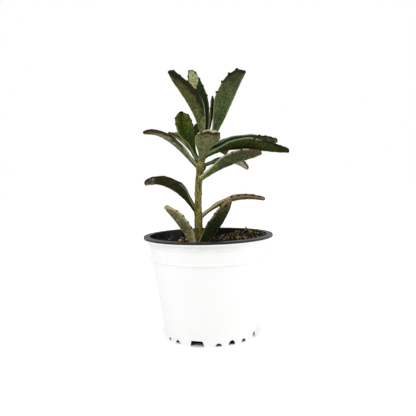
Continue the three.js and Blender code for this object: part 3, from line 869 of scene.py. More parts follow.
def lay_rings(
    name: str, segments: int, rings: int, place: Callable[[int, int], tuple[Vector, Marks]]
) -> bpy.types.Object:
    """Lays the rings of a sphere, pole to pole, on a form of their own.

    Args:
        name: The piece's name.
        segments: Points round a ring.
        rings: Steps from the first pole to the last.
        place: Gives the point in millimetres, and its marks, for a ring and a step round it.

    Returns:
        The new piece.
    """
    start_fresh()
    bpy.ops.mesh.primitive_uv_sphere_add(segments=segments, ring_count=rings, radius=1.0)
    piece = bpy.context.object
    piece.name = name
    marks: dict[str, list[float]] = {}
    for vertex in piece.data.vertices:
        ring = round(rings * math.acos(clamp(-vertex.co.z, -1.0, 1.0)) / math.pi)
        step = round(segments * math.atan2(vertex.co.y, vertex.co.x) / math.tau) % segments
        point, notes = place(ring, step)
        vertex.co = point * MM
        for mark, value in notes.items():
            marks.setdefault(mark, []).append(value)
    for mark, values in marks.items():
        write_mark(piece, mark, values)
    face_outwards(piece)
    bpy.ops.object.shade_smooth()
    return piece


@dataclass(frozen=True)
class Lamp:
    """A square soft lamp that looks at the plant. Lengths are in millimetres, and power in watts."""

    name: str
    place: tuple[float, float, float]
    size: float
    power: float


@dataclass
class Studio:
    """The plain floor, the soft light, and the camera at the photograph's viewing angle.

    Lengths are in millimetres and turns in radians. A direction on the sky goes from -1 to 1, from
    below to above for the sky's rise, and from in front to behind for the dark gap in front.
    """

    distance: float = 419.6
    eye_height: float = 141.8
    sideways: float = 0.47
    pitch: float = 0.0601
    roll: float = 0.0257
    focal_share: float = 450 / 416
    sensor: float = 36.0
    nearest: float = 10.0
    farthest: float = 50000.0
    floor_size: float = 8000.0
    sky: float = 0.85
    ground: float = 0.2
    sky_rise: Span = (-0.4, 0.9)
    front_gap: float = 1.0
    gap_rise: Span = (-0.68, -0.95)
    aim_height: float = 120.0
    lamps: tuple[Lamp, ...] = (
        Lamp("key_lamp", (-520.0, -620.0, 760.0), 620.0, 5.0),
        Lamp("side_lamp", (700.0, -200.0, 400.0), 500.0, 2.6),
    )

    def build(self) -> None:
        """Sets up everything round the object."""
        self.lay_floor()
        self.light_room()
        for lamp in self.lamps:
            self.hang(lamp)
        self.place_camera()
        bpy.context.scene.view_settings.view_transform = "Standard"
        LOG.info("studio ready")

    def lay_floor(self) -> None:
        """Lays a wide pale floor."""
        start_fresh()
        bpy.ops.mesh.primitive_plane_add(size=self.floor_size * MM)
        floor = bpy.context.object
        floor.name = "floor"
        floor.data.materials.append(FloorFinish().dress())

    def light_room(self) -> None:
        """Fills the room with white light from above, with less of it from in front."""
        world = bpy.data.worlds.new("white_room")
        bpy.context.scene.world = world
        world.use_nodes = True
        sheet = NodeSheet(world.node_tree)
        background = world.node_tree.nodes["Background"]
        seen = sheet.add("ShaderNodeLightPath").outputs["Is Camera Ray"]
        split = sheet.add("ShaderNodeSeparateXYZ")
        sheet.feed(split.inputs[0], sheet.add("ShaderNodeTexCoord").outputs["Generated"])
        above = sheet.times(sheet.step(split.outputs["Z"], *self.sky_rise), self.sky - self.ground)
        opening = sheet.times(sheet.step(split.outputs["Y"], *self.gap_rise), self.front_gap)
        light = sheet.times(sheet.plus(above, self.ground), sheet.math("SUBTRACT", 1.0, opening))
        sheet.feed(background.inputs["Color"], (1.0, 1.0, 1.0, 1.0))
        sheet.feed(background.inputs["Strength"], sheet.math("MAXIMUM", seen, light))

    def hang(self, lamp: Lamp) -> None:
        """Hangs one lamp."""
        light = bpy.data.lights.new(lamp.name, "AREA")
        light.size = lamp.size * MM
        light.energy = lamp.power
        holder = bpy.data.objects.new(lamp.name, light)
        bpy.context.scene.collection.objects.link(holder)
        place = Vector(lamp.place)
        holder.location = place * MM
        holder.rotation_mode = "QUATERNION"
        holder.rotation_quaternion = (UP * self.aim_height - place).to_track_quat("-Z", "Y")

    def place_camera(self) -> None:
        """Stands the camera where the photograph was taken from."""
        lens = bpy.data.cameras.new("camera")
        lens.sensor_width = self.sensor
        lens.lens = self.focal_share * self.sensor
        lens.clip_start = self.nearest * MM
        lens.clip_end = self.farthest * MM
        camera = bpy.data.objects.new("camera", lens)
        bpy.context.scene.collection.objects.link(camera)
        tilt = Euler((math.pi / 2 - self.pitch, 0.0, 0.0)).to_matrix()
        turn = tilt @ Matrix.Rotation(-self.roll, 3, "Z")
        spot = Vector((self.sideways, -self.distance, self.eye_height)) * MM
        camera.matrix_world = Matrix.Translation(spot) @ turn.to_4x4()
        bpy.context.scene.camera = camera


@dataclass
class FootGap:
    """A gap in the pot's foot, by its bearing in degrees from the front."""

    bearing: float
    width: float
    height: float


@dataclass
class Pot:
    """The nursery pot: one moulding, white outside and black inside, with a flat black lip.

    Lengths are in millimetres and angles in degrees. skin is the share of the wall that is white, and
    a gap wider than wide_gap has straight sides, with its top wide_top_share of its width.
    """

    node: str = "pot"
    lip_inner: float = 54.3
    lip_thickness: float = 2.6
    lip_black: float = 1.8
    wall: float = 1.4
    neck: float = 56.0
    shoulder: float = 84.0
    collar_top: float = 54.9
    bead_height: float = 72.0
    bead_radius: float = 53.2
    bead_proud: float = 0.9
    bead_thickness: float = 2.2
    foot_radius: float = 42.7
    skirt_wall: float = 1.8
    floor_height: float = 6.6
    floor_thickness: float = 1.3
    pad_radius: float = 21.0
    pad_slope: float = 3.0
    drain_radius: float = 3.5
    drain_circle: float = 32.0
    drain_holes: int = 8
    sides: int = 160
    cutter_sides: int = 32
    shoulder_step: float = 0.5
    edge_round: float = 0.5
    edge_steps: int = 3
    edge_angle: float = 28.0
    smooth_angle: float = 40.0
    skin: float = 0.6
    gap_margin: float = 3.0
    wide_gap: float = 10.0
    wide_top_share: float = 0.8
    gaps: list[FootGap] = field(default_factory=lambda: [
        FootGap(-58, 3.5, 2.5), FootGap(-42, 5, 3), FootGap(-16, 12.5, 5), FootGap(9, 5.5, 2.8),
        FootGap(25, 6.2, 4.3), FootGap(42, 5, 3), FootGap(66, 5.5, 4.5),
    ])
    height: float = field(init=False)
    lip_radius: float = field(init=False)

    def build(self) -> None:
        """Turns the pot, cuts its foot and floor, and dresses it."""
        low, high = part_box(self.node)
        self.height = high.z / MM
        self.lip_radius = (high.x - low.x) / 2 / MM
        piece = self.turn()
        self.cut(piece, self.gap_cutters() + self.drain_cutters())
        self.soften(piece)
        self.dress(piece)
        register(piece, [self.node])

    def wall_radius(self, height: float) -> float:
        """The outside of the tapered wall at a height."""
        return lerp(self.foot_radius, self.bead_radius, height / self.bead_height)

    def outline(self) -> list[tuple[float, float]]:
        """The pot's section, from the middle of its underside round to the middle of its floor."""
        skirt_inside = self.foot_radius - self.skirt_wall
        lip_under = self.height - self.lip_thickness
        floor_under = self.floor_height - self.floor_thickness
        pad_edge = self.pad_radius + self.pad_slope
        half_bead = self.bead_thickness / 2
        bead_low = self.bead_height - half_bead
        bead_high = self.bead_height + half_bead
        bead_out = self.bead_radius + self.bead_proud
        shoulder_low = self.shoulder - self.shoulder_step
        shoulder_high = self.shoulder + self.shoulder_step
        return [
            (0.0, 0.0),
            (self.pad_radius, 0.0),
            (pad_edge, floor_under),
            (skirt_inside, floor_under),
            (skirt_inside, 0.0),
            (self.foot_radius, 0.0),
            (self.wall_radius(bead_low), bead_low),
            (bead_out, self.bead_height - half_bead / 2),
            (bead_out, self.bead_height + half_bead / 2),
            (self.wall_radius(bead_high), bead_high),
            (self.collar_top, shoulder_low),
            (self.neck, shoulder_high),
            (self.neck, lip_under),
            (self.lip_radius, lip_under),
            (self.lip_radius, self.height - self.lip_black),
            (self.lip_radius, self.height),
            (self.lip_inner, self.height),
            (self.lip_inner, shoulder_high),
            (self.collar_top - self.wall, shoulder_low),
            (self.wall_radius(self.bead_height) - self.wall, self.bead_height),
            (self.wall_radius(self.floor_height) - self.wall, self.floor_height),
            (pad_edge, self.floor_height),
            (self.pad_radius, self.floor_thickness),
            (0.0, self.floor_thickness),
        ]

    def turn(self) -> bpy.types.Object:
        """Draws the section point by point and spins it round the pot's axis.

        Returns:
            The closed shell.
        """
        points = [Vector((radius, 0.0, height)) * MM for radius, height in self.outline()]
        start_fresh()
        bpy.ops.mesh.primitive_plane_add(size=1.0)
        piece = bpy.context.object
        piece.name = "nursery_pot"
        bpy.ops.object.mode_set(mode="EDIT")
        drawing = bmesh.from_edit_mesh(piece.data)
        drawing.verts.ensure_lookup_table()
        bmesh.ops.delete(drawing, geom=drawing.verts[1:], context="VERTS")
        drawing.verts.ensure_lookup_table()
        drawing.verts[0].co = points[0]
        drawing.verts[0].select_set(True)
        bmesh.update_edit_mesh(piece.data)
        bpy.ops.mesh.select_mode(type="VERT")
        for here, there in zip(points, points[1:]):
            bpy.ops.mesh.extrude_region_move(TRANSFORM_OT_translate={"value": there - here})
        bpy.ops.mesh.select_all(action="SELECT")
        bpy.ops.mesh.spin(steps=self.sides, angle=math.tau, center=(0.0, 0.0, 0.0), axis=UP)
        bpy.ops.object.mode_set(mode="OBJECT")
        face_outwards(piece, merge=MERGE)
        return piece

    def gap_cutters(self) -> list[bpy.types.Object]:
        """Makes a cutter for each gap in the foot, and the same again on the far side."""
        cutters = []
        for gap in self.gaps:
            for bearing in (gap.bearing, gap.bearing + 180.0):
                cutters.append(self.gap_cutter(gap, math.radians(bearing)))
        return cutters

    def gap_cutter(self, gap: FootGap, bearing: float) -> bpy.types.Object:
        """Makes one cutter: a block with a narrower top if the gap is wide, else a lying half drum."""
        depth = self.skirt_wall + 2 * self.gap_margin
        middle = self.foot_radius - self.skirt_wall / 2
        start_fresh()
        if gap.width > self.wide_gap:
            bpy.ops.mesh.primitive_cube_add(size=1.0)
            cutter = bpy.context.object
            for vertex in cutter.data.vertices:
                vertex.co.x *= self.wide_top_share if vertex.co.z > 0 else 2 - self.wide_top_share
        else:
            bpy.ops.mesh.primitive_cylinder_add(
                vertices=self.cutter_sides, radius=0.5, depth=1.0, rotation=(math.pi / 2, 0.0, 0.0)
            )
            cutter = bpy.context.object
            set_place(cutter)
        cutter.scale = Vector((gap.width, depth, 2 * gap.height)) * MM
        cutter.rotation_euler.z = bearing
        cutter.location = Vector((math.sin(bearing), -math.cos(bearing), 0.0)) * middle * MM
        set_place(cutter)
        return cutter

    def drain_cutters(self) -> list[bpy.types.Object]:
        """Makes a round cutter for each drain hole."""
        cutters = []
        for hole in range(self.drain_holes):
            angle = math.tau * (hole + 0.5) / self.drain_holes
            spot = Vector((math.cos(angle), math.sin(angle), 0.0)) * self.drain_circle * MM
            start_fresh()
            bpy.ops.mesh.primitive_cylinder_add(
                vertices=self.cutter_sides, radius=self.drain_radius * MM, depth=self.floor_height * MM,
                location=(spot.x, spot.y, self.floor_height * MM),
            )
            cutter = bpy.context.object
            set_place(cutter)
            cutters.append(cutter)
        return cutters

    def cut(self, piece: bpy.types.Object, cutters: list[bpy.types.Object]) -> None:
        """Cuts all the cutters out of the pot."""
        cutter = join_pieces("pot_cutter", cutters)
        carve = piece.modifiers.new("carve", "BOOLEAN")
        carve.operation = "DIFFERENCE"
        carve.solver = "EXACT"
        carve.object = cutter
        finish_modifiers(piece)
        bpy.data.objects.remove(cutter)

    def soften(self, piece: bpy.types.Object) -> None:
        """Rounds the moulding's edges."""
        bevel = piece.modifiers.new("soften", "BEVEL")
        bevel.width = self.edge_round * MM
        bevel.segments = self.edge_steps
        bevel.limit_method = "ANGLE"
        bevel.angle_limit = math.radians(self.edge_angle)
        bevel.use_clamp_overlap = True
        finish_modifiers(piece)
        bpy.ops.object.shade_smooth_by_angle(angle=math.radians(self.smooth_angle))

    def dress(self, piece: bpy.types.Object) -> None:
        """Gives the outside its white skin and the inside and the lip their black, and paints the recess
        below black as painted shade.
        """
        piece.data.materials.append(WHITE_PLASTIC.dress())
        piece.data.materials.append(BLACK_PLASTIC.dress())
        black_from = self.height - self.lip_black
        for face in piece.data.polygons:
            middle = face.center / MM
            radius = math.hypot(middle.x, middle.y)
            outside = self.neck if middle.z > self.shoulder else self.wall_radius(middle.z)
            # The pot's inside is its own black. The same test paints the recess under the floor black as
            # painted shade.
            is_inside_or_shaded_recess = radius < outside - self.wall * self.skin
            face.material_index = 1 if is_inside_or_shaded_recess or middle.z > black_from else 0


@dataclass
class Litter:
    """Loose bits gathered for one mesh, each with a tone of its own. Points are in metres."""

    points: list[Vector] = field(default_factory=list)
    faces: list[tuple[int, ...]] = field(default_factory=list)
    tones: list[float] = field(default_factory=list)

    def copy(self, form: bpy.types.Mesh, turn: Matrix, tone: float) -> None:
        """Adds one copy of a form, turned and placed."""
        first = len(self.points)
        self.points.extend(turn @ vertex.co for vertex in form.vertices)
        self.faces.extend(tuple(first + corner for corner in face.vertices) for face in form.polygons)
        self.tones.extend([tone] * len(form.vertices))

    def gather(self, name: str) -> bpy.types.Object:
        """Makes one piece of all the bits."""
        mesh = bpy.data.meshes.new(name)
        mesh.from_pydata(self.points, [], self.faces)
        piece = bpy.data.objects.new(name, mesh)
        bpy.context.scene.collection.objects.link(piece)
        write_mark(piece, "tone", self.tones)
        face_outwards(piece)
        return piece


@dataclass
class Soil:
    """The potting mix: a rough surface, low at the left and heaped at the right, and its crumbs.

    Lengths are in millimetres and turns in radians, apart from heap_bearing in degrees. A pair of
    values gives the least and the most of what is drawn at random. Each of the lumps has a depth, a
    scale and a layer of the noise that it is read from, and each of the walls a radius and a height.
    """

    node: str = "soil"
    level: float = 84.5
    heap: float = 7.0
    heap_bearing: float = 15.0
    heap_from: float = 0.34
    heap_to: float = 0.95
    bump: float = 0.3
    lumps: tuple[tuple[float, float, float], ...] = ((0.9, 0.34, 0.0), (0.5, 0.95, 5.0))
    sunk: float = 0.2
    pot_radius: float = 54.3
    edge_radius: float = 53.6
    walls: tuple[Span, ...] = ((53.2, 83.0), (51.4, 72.0), (43.0, 7.2))
    ring_step: float = 1.25
    sectors: int = 168
    seed: int = 7
    forms: int = 6
    form_roughness: float = 0.5
    crumbs: int = 6200
    crumb_margin: float = 1.4
    crumbs_on_heap: float = 0.4
    crumb_spread: float = 1.5
    crumb_size: Span = (0.22, 0.62)
    small_share: float = 0.88
    lump_size: Span = (0.6, 1.1)
    crumb_stretch: tuple[Span, ...] = ((0.8, 2.0), (0.6, 1.0), (0.4, 0.8))
    crumb_tilt: float = 0.6
    crumb_lift: float = 0.15
    heap_edge: Span = (2.0, 26.0)
    pale_share: Span = (0.05, 0.2)
    pale_tone: Span = (0.6, 1.0)
    dark_tone: Span = (0.0, 0.2)
    curls: int = 110
    curl_margin: float = 6.0
    curls_on_heap: float = 0.75
    curl_spread: float = 1.4
    curl_lift: float = 0.5
    curl_length: Span = (1.8, 4.6)
    curl_bend: Span = (0.8, 2.6)
    curl_thickness: Span = (0.18, 0.4)
    curl_tilt: Span = (0.9, 0.5)
    curl_flatness: float = 1.7
    curl_slimmest: float = 0.25
    curl_rise: float = 0.3
    curl_steps: int = 6
    curl_sides: int = 6

    def surface(self, x: float, y: float) -> float:
        """The smooth height of the mix at a point, in millimetres."""
        bearing = math.radians(self.heap_bearing)
        towards = (x * math.cos(bearing) + y * math.sin(bearing)) / self.pot_radius
        heap = self.heap * smoothstep(towards, self.heap_from, self.heap_to)
        bumps = math.sin(0.31 * x + 1.2) * math.cos(0.27 * y - 0.4) + 0.5 * math.sin(0.6 * y + 0.2 * x)
        return self.level + heap + self.bump * bumps

    def rough(self, x: float, y: float) -> float:
        """The height of the mix with its lumps."""
        lumps = sum(
            depth * noise.noise(Vector((x, y, layer)) * scale) for depth, scale, layer in self.lumps
        )
        return self.surface(x, y) + lumps - self.sunk

    def build(self) -> None:
        """Makes the mix and scatters its crumbs and curls of bark over it."""
        draw = random.Random(self.seed)
        ground = self.ground()
        bits = self.scatter(draw)
        piece = join_pieces("potting_mix", [ground, bits])
        piece.data.materials.clear()
        piece.data.materials.append(PEAT.dress())
        register(piece, [self.node])

    def ground(self) -> bpy.types.Object:
        """Makes the body of the mix from a disc that is inset ring by ring.

        Returns:
            The mix without its crumbs.
        """
        start_fresh()
        bpy.ops.mesh.primitive_circle_add(
            vertices=self.sectors, radius=self.edge_radius * MM, fill_type="NGON"
        )
        piece = bpy.context.object
        bpy.ops.object.mode_set(mode="EDIT")
        bpy.ops.mesh.select_mode(type="FACE")
        bpy.ops.mesh.select_all(action="SELECT")
        for _ in range(int(self.edge_radius / self.ring_step) - 1):
            bpy.ops.mesh.inset(thickness=self.ring_step * MM)
        bpy.ops.mesh.poke()
        bpy.ops.mesh.select_all(action="DESELECT")
        bpy.ops.mesh.select_mode(type="EDGE")
        drawing = bmesh.from_edit_mesh(piece.data)
        for edge in drawing.edges:
            edge.select_set(edge.is_boundary)
        bmesh.update_edit_mesh(piece.data)
        height = 0.0
        radius = self.edge_radius
        for next_radius, next_height in self.walls:
            move = UP * ((next_height - height) * MM)
            bpy.ops.mesh.extrude_edges_move(TRANSFORM_OT_translate={"value": move})
            ratio = next_radius / radius
            bpy.ops.transform.resize(value=(ratio, ratio, 1.0), center_override=(0.0, 0.0, 0.0))
            radius, height = next_radius, next_height
        bpy.ops.mesh.edge_face_add()
        bpy.ops.object.mode_set(mode="OBJECT")
        for vertex in piece.data.vertices:
            if abs(vertex.co.z) < MERGE:
                vertex.co.z = self.rough(vertex.co.x / MM, vertex.co.y / MM) * MM
        write_mark(piece, "tone", [0.0] * len(piece.data.vertices))
        face_outwards(piece)
        bpy.ops.object.shade_smooth()
        return piece

    def crumb_forms(self) -> list[bpy.types.Mesh]:
        """Models a few rough crumbs, which scatter copies."""
        forms = []
        for number in range(self.forms):
            start_fresh()
            bpy.ops.mesh.primitive_ico_sphere_add(subdivisions=1, radius=1.0)
            crumb = bpy.context.object
            shift = Vector((number * 7.0, 0.0, 0.0))
            for vertex in crumb.data.vertices:
                push = 1.0 + self.form_roughness * noise.noise(vertex.co * 1.3 + shift)
                vertex.co = vertex.co * push
            forms.append(crumb.data)
            bpy.data.objects.remove(crumb)
        return forms

    def pick(
        self, draw: random.Random, margin: float, heap_share: float, spread: float
    ) -> tuple[float, float]:
        """Picks a spot on the mix, more often at the right.

        Args:
            draw: The source of every random number.
            margin: How far it stays from the mix's edge.
            heap_share: How often it falls within the spread.
            spread: How far to each side of the right the spread goes.

        Returns:
            The spot's x and y.
        """
        radius = (self.edge_radius - margin) * math.sqrt(draw.random())
        on_heap = draw.random() < heap_share
        angle = draw.uniform(-spread, spread) if on_heap else draw.uniform(0.0, math.tau)
        return radius * math.cos(angle), radius * math.sin(angle)

    def scatter(self, draw: random.Random) -> bpy.types.Object:
        """Scatters crumbs and curls over the mix, paler and denser on the heap.

        Args:
            draw: The source of every random number.

        Returns:
            All of them as one mesh, with a tone on each.
        """
        litter = Litter()
        forms = self.crumb_forms()
        for _ in range(self.crumbs):
            self.crumb(draw, forms, litter)
        for _ in range(self.curls):
            x, y = self.pick(draw, self.curl_margin, self.curls_on_heap, self.curl_spread)
            self.curl(draw, Vector((x, y, self.rough(x, y) + self.curl_lift)), litter)
        return litter.gather("crumbs")

    def crumb(self, draw: random.Random, forms: list[bpy.types.Mesh], litter: Litter) -> None:
        """Adds one crumb.

        Args:
            draw: The source of every random number.
            forms: The forms to choose from.
            litter: The bits so far, added to.
        """
        x, y = self.pick(draw, self.crumb_margin, self.crumbs_on_heap, self.crumb_spread)
        is_small = draw.random() < self.small_share
        size = draw.uniform(*(self.crumb_size if is_small else self.lump_size))
        is_pale = draw.random() < lerp(*self.pale_share, smoothstep(x, *self.heap_edge))
        tone = draw.uniform(*(self.pale_tone if is_pale else self.dark_tone))
        sides = [size * draw.uniform(*span) for span in self.crumb_stretch]
        stretch = Matrix.Diagonal(Vector((*sides, 1.0)))
        tilt = self.crumb_tilt
        spin = Euler((draw.uniform(-tilt, tilt), draw.uniform(-tilt, tilt), draw.uniform(0.0, math.tau)))
        spot = Matrix.Translation(Vector((x, y, self.rough(x, y) + size * self.crumb_lift)))
        turn = Matrix.Scale(MM, 4) @ spot @ spin.to_matrix().to_4x4() @ stretch
        litter.copy(draw.choice(forms), turn, tone)

    def curl(self, draw: random.Random, spot: Vector, litter: Litter) -> None:
        """Adds one curled shred of bark: a bent tapered strip.

        Args:
            draw: The source of every random number.
            spot: Where it lies, in millimetres.
            litter: The bits so far, added to.
        """
        length = draw.uniform(*self.curl_length)
        bend = draw.uniform(*self.curl_bend)
        thick = draw.uniform(*self.curl_thickness)
        lean, dip = self.curl_tilt
        turn = Euler((draw.uniform(-lean, lean), draw.uniform(-dip, dip), draw.uniform(0.0, math.tau)))
        tone = draw.uniform(*self.pale_tone)
        steps, sides = self.curl_steps, self.curl_sides
        first = len(litter.points)
        for step in range(steps + 1):
            share = step / steps
            angle = bend * (share - 0.5)
            rise = length * (math.cos(angle) - 1) / bend + self.curl_rise
            middle = Vector((length * math.sin(angle) / bend, 0.0, rise))
            swell = math.sin(math.pi * clamp(share, 0.06, 0.94))
            slim = thick * lerp(self.curl_slimmest, 1.0, swell)
            for side in range(sides):
                around = math.tau * side / sides
                ring = Vector((0.0, self.curl_flatness * math.cos(around), math.sin(around))) * slim
                ring.rotate(Euler((0.0, angle, 0.0)))
                litter.points.append((spot + turn.to_matrix() @ (middle + ring)) * MM)
                litter.tones.append(tone)
        for step in range(steps):
            for side in range(sides):
                a = first + step * sides + side
                b = first + step * sides + (side + 1) % sides
                litter.faces.append((a, b, b + sides, a + sides))
        litter.faces.append(tuple(first + side for side in reversed(range(sides))))
        litter.faces.append(tuple(first + steps * sides + side for side in range(sides)))


@dataclass
class BarkChips:
    """The larger pieces of bark that lie on the mix, each where its node is.

    A chip is shaped from a block of side 1, and then fitted to its node's box.
    """

    count: int = 12
    cuts: int = 7
    corner_cut: float = 0.32
    corner_reach: Span = (0.3, 0.7)
    torn: float = 0.16
    torn_scale: float = 2.4
    layer: float = 0.07
    layer_pitch: float = 26.0
    layer_drift: float = 5.0
    layer_scale: float = 1.5
    thinnest: float = 0.8
    lump: float = 0.3
    lump_scale: float = 3.0
    arch: float = 0.12
    arch_pitch: float = 2.5
    tone: float = 0.65
    tone_spread: float = 0.45
    tone_limits: Span = (0.3, 0.95)
    smooth_angle: float = 50.0

    def build(self) -> None:
        """Makes and places every chip."""
        finish = BARK.dress()
        for number in range(1, self.count + 1):
            piece = self.chip(number)
            piece.data.materials.append(finish)
            register(piece, [f"bark_chip_{number}"])

    def chip(self, number: int) -> bpy.types.Object:
        """Makes one torn, layered flake that fills its node's box.

        Args:
            number: Which chip it is.

        Returns:
            The chip.
        """
        low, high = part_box(f"bark_chip_{number}")
        start_fresh()
        bpy.ops.mesh.primitive_cube_add(size=1.0)
        piece = bpy.context.object
        piece.name = f"bark_flake_{number}"
        bpy.ops.object.mode_set(mode="EDIT")
        bpy.ops.mesh.select_all(action="SELECT")
        bpy.ops.mesh.subdivide(number_cuts=self.cuts)
        bpy.ops.object.mode_set(mode="OBJECT")
        shift = Vector((number * 3.1, number * 1.7, 0.0))
        for vertex in piece.data.vertices:
            spot = vertex.co.copy()
            corner = 1.0 - self.corner_cut * smoothstep(spot.xy.length, *self.corner_reach)
            torn = self.torn * noise.noise(spot * self.torn_scale + shift)
            drift = self.layer_drift * noise.noise(spot * self.layer_scale + shift)
            layers = self.layer * math.sin(self.layer_pitch * spot.z + drift)
            thick = self.thinnest + self.lump * noise.noise(spot * self.lump_scale - shift)
            vertex.co.x = spot.x * (corner + torn + layers)
            vertex.co.y = spot.y * (corner - torn + layers)
            vertex.co.z = spot.z * thick + self.arch * math.sin(self.arch_pitch * spot.x)
        rounding = piece.modifiers.new("rounding", "SUBSURF")
        rounding.levels = rounding.render_levels = 1
        finish_modifiers(piece)
        self.fit(piece, low, high)
        tone = clamp(self.tone + self.tone_spread * noise.noise(shift * 0.7), *self.tone_limits)
        write_mark(piece, "tone", [tone] * len(piece.data.vertices))
        face_outwards(piece)
        bpy.ops.object.shade_smooth_by_angle(angle=math.radians(self.smooth_angle))
        return piece

    def fit(self, piece: bpy.types.Object, low: Vector, high: Vector) -> None:
        """Scales a mesh so that it fills a box exactly."""
        corners = [Vector(corner) for corner in piece.bound_box]
        start = Vector(min(corner[axis] for corner in corners) for axis in range(3))
        end = Vector(max(corner[axis] for corner in corners) for axis in range(3))
        for vertex in piece.data.vertices:
            for axis in range(3):
                share = (vertex.co[axis] - start[axis]) / (end[axis] - start[axis])
                vertex.co[axis] = lerp(low[axis], high[axis], share)


@dataclass
class FoodBeads:
    """Round coated beads of plant food, each where its node is."""

    count: int = 2
    size_share: float = 0.99
    dent: float = 0.05
    dent_scale: float = 1.6
    pit: float = 0.015
    pit_scale: float = 7.0

    def build(self) -> None:
        """Makes and places every bead."""
        finish = FoodFinish().dress()
        for number in range(1, self.count + 1):
            low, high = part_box(f"food_bead_{number}")
            centre = (low + high) / 2
            radius = (high.x - low.x) / 2
            start_fresh()
            bpy.ops.mesh.primitive_ico_sphere_add(subdivisions=4, radius=radius)
            piece = bpy.context.object
            piece.name = f"plant_food_bead_{number}"
            for vertex in piece.data.vertices:
                way = vertex.co.normalized()
                dent = self.dent * noise.noise(way * self.dent_scale + UP * number)
                pit = self.pit * noise.noise(way * self.pit_scale)
                vertex.co = centre + vertex.co * (self.size_share + dent + pit)
            piece.data.materials.append(finish)
            make_active(piece)
            bpy.ops.object.shade_smooth()
            register(piece, [f"food_bead_{number}"])


@dataclass(frozen=True)
class Scale:
    """A withered scale of the stalk.

    start and end are where it runs along the stalk, from 0 at its foot to 1 at its tip. off is how far
    its own tip stands off there, and radius half its width, in millimetres.
    """

    name: str
    start: float
    end: float
    off: tuple[float, float, float]
    radius: float


@dataclass
class DeadSprig:
    """The dry stalk at the back right, with two withered scales."""

    node: str = "dead_sprig"
    sides: int = 12
    steps: int = 24
    stalk_radius: float = 0.55
    scale_flatness: float = 0.4
    foot_inset: float = 0.6
    foot_sunk: float = 0.2
    tip_inset: float = 0.2
    tip_proud: float = 0.3
    wrinkle: float = 0.25
    bow: float = 0.35
    tone: float = 0.55
    scales: tuple[Scale, ...] = (
        Scale("scale_left", 0.35, 0.75, (-1.6, -0.4, 0.2), 0.5),
        Scale("scale_right", 0.2, 0.5, (1.5, 0.3, 0.0), 0.45),
    )

    def build(self) -> None:
        """Makes the stalk and its scales as one piece."""
        low, high = (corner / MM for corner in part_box(self.node))
        foot = Vector((high.x - self.foot_inset, (low.y + high.y) / 2, low.z - self.foot_sunk))
        tip = Vector((low.x + self.tip_inset, foot.y, high.z + self.tip_proud))
        parts = [self.strip("dead_stalk", foot, tip, self.stalk_radius, 1.0)]
        for scale in self.scales:
            start, end = foot.lerp(tip, scale.start), foot.lerp(tip, scale.end) + Vector(scale.off)
            parts.append(self.strip(scale.name, start, end, scale.radius, self.scale_flatness))
        piece = join_pieces("dry_sprig", parts)
        piece.data.materials.append(DRY_STALK.dress())
        register(piece, [self.node])

    def strip(
        self, name: str, start: Vector, end: Vector, radius: float, flat: float
    ) -> bpy.types.Object:
        """Makes one tapered, wrinkled strip.

        Args:
            name: Its name.
            start: Its foot, in millimetres.
            end: Its tip.
            radius: Half its width.
            flat: Its thickness as a share of its width.

        Returns:
            The strip.
        """
        way = (end - start).normalized()
        across = way.cross(Vector((0.0, 1.0, 0.0))).normalized()
        deep = way.cross(across)

        def place(ring: int, step: int) -> tuple[Vector, Marks]:
            """One point on the strip."""
            share = ring / self.steps
            angle = math.tau * step / self.sides
            slim = radius * math.sqrt(abs(math.sin(math.pi * share))) * lerp(1.1, 0.5, share)
            slim *= 1.0 + self.wrinkle * noise.noise(Vector((share * 6.0, step * 0.7, radius * 9.0)))
            middle = start.lerp(end, share) + across * self.bow * math.sin(3.0 * share)
            aside = across * math.cos(angle) + deep * flat * math.sin(angle)
            return middle + aside * slim, {"tone": self.tone}

        return lay_rings(name, self.sides, self.steps, place)


@dataclass(frozen=True)
class LeafForm:
    """How one leaf grows. Angles are in degrees and lengths in millimetres.

    height is where it leaves the stem, and bearing is 0 to the right, 90 away and 180 to the left.
    reach, lift and sway give its tip from there: outwards, upwards and sideways. rise and droop are
    the slopes of its midrib at the stem and at the tip. fold is how far each half is folded up, and
    roll turns the blade about its midrib. stalk is its width at the stem as a share of the widest.
    tooth is how far its teeth stand out, and teeth are their places along its edge, from 0 at the stem
    to 1 at the tip. tip_rise turns the tip up, and tip_fold is the share of the fold left there.
    """

    node: str
    finish: LeafFinish
    height: float
    bearing: float
    reach: float
    lift: float
    sway: float
    rise: float
    droop: float
    half_width: float
    fold: float
    stalk: float
    widest: float
    bluntness: float
    thickness: float
    roll: float = 0.0
    tooth: float = 0.6
    teeth: tuple[float, ...] = ()
    tip_rise: float = 0.18
    tip_fold: float = 0.7


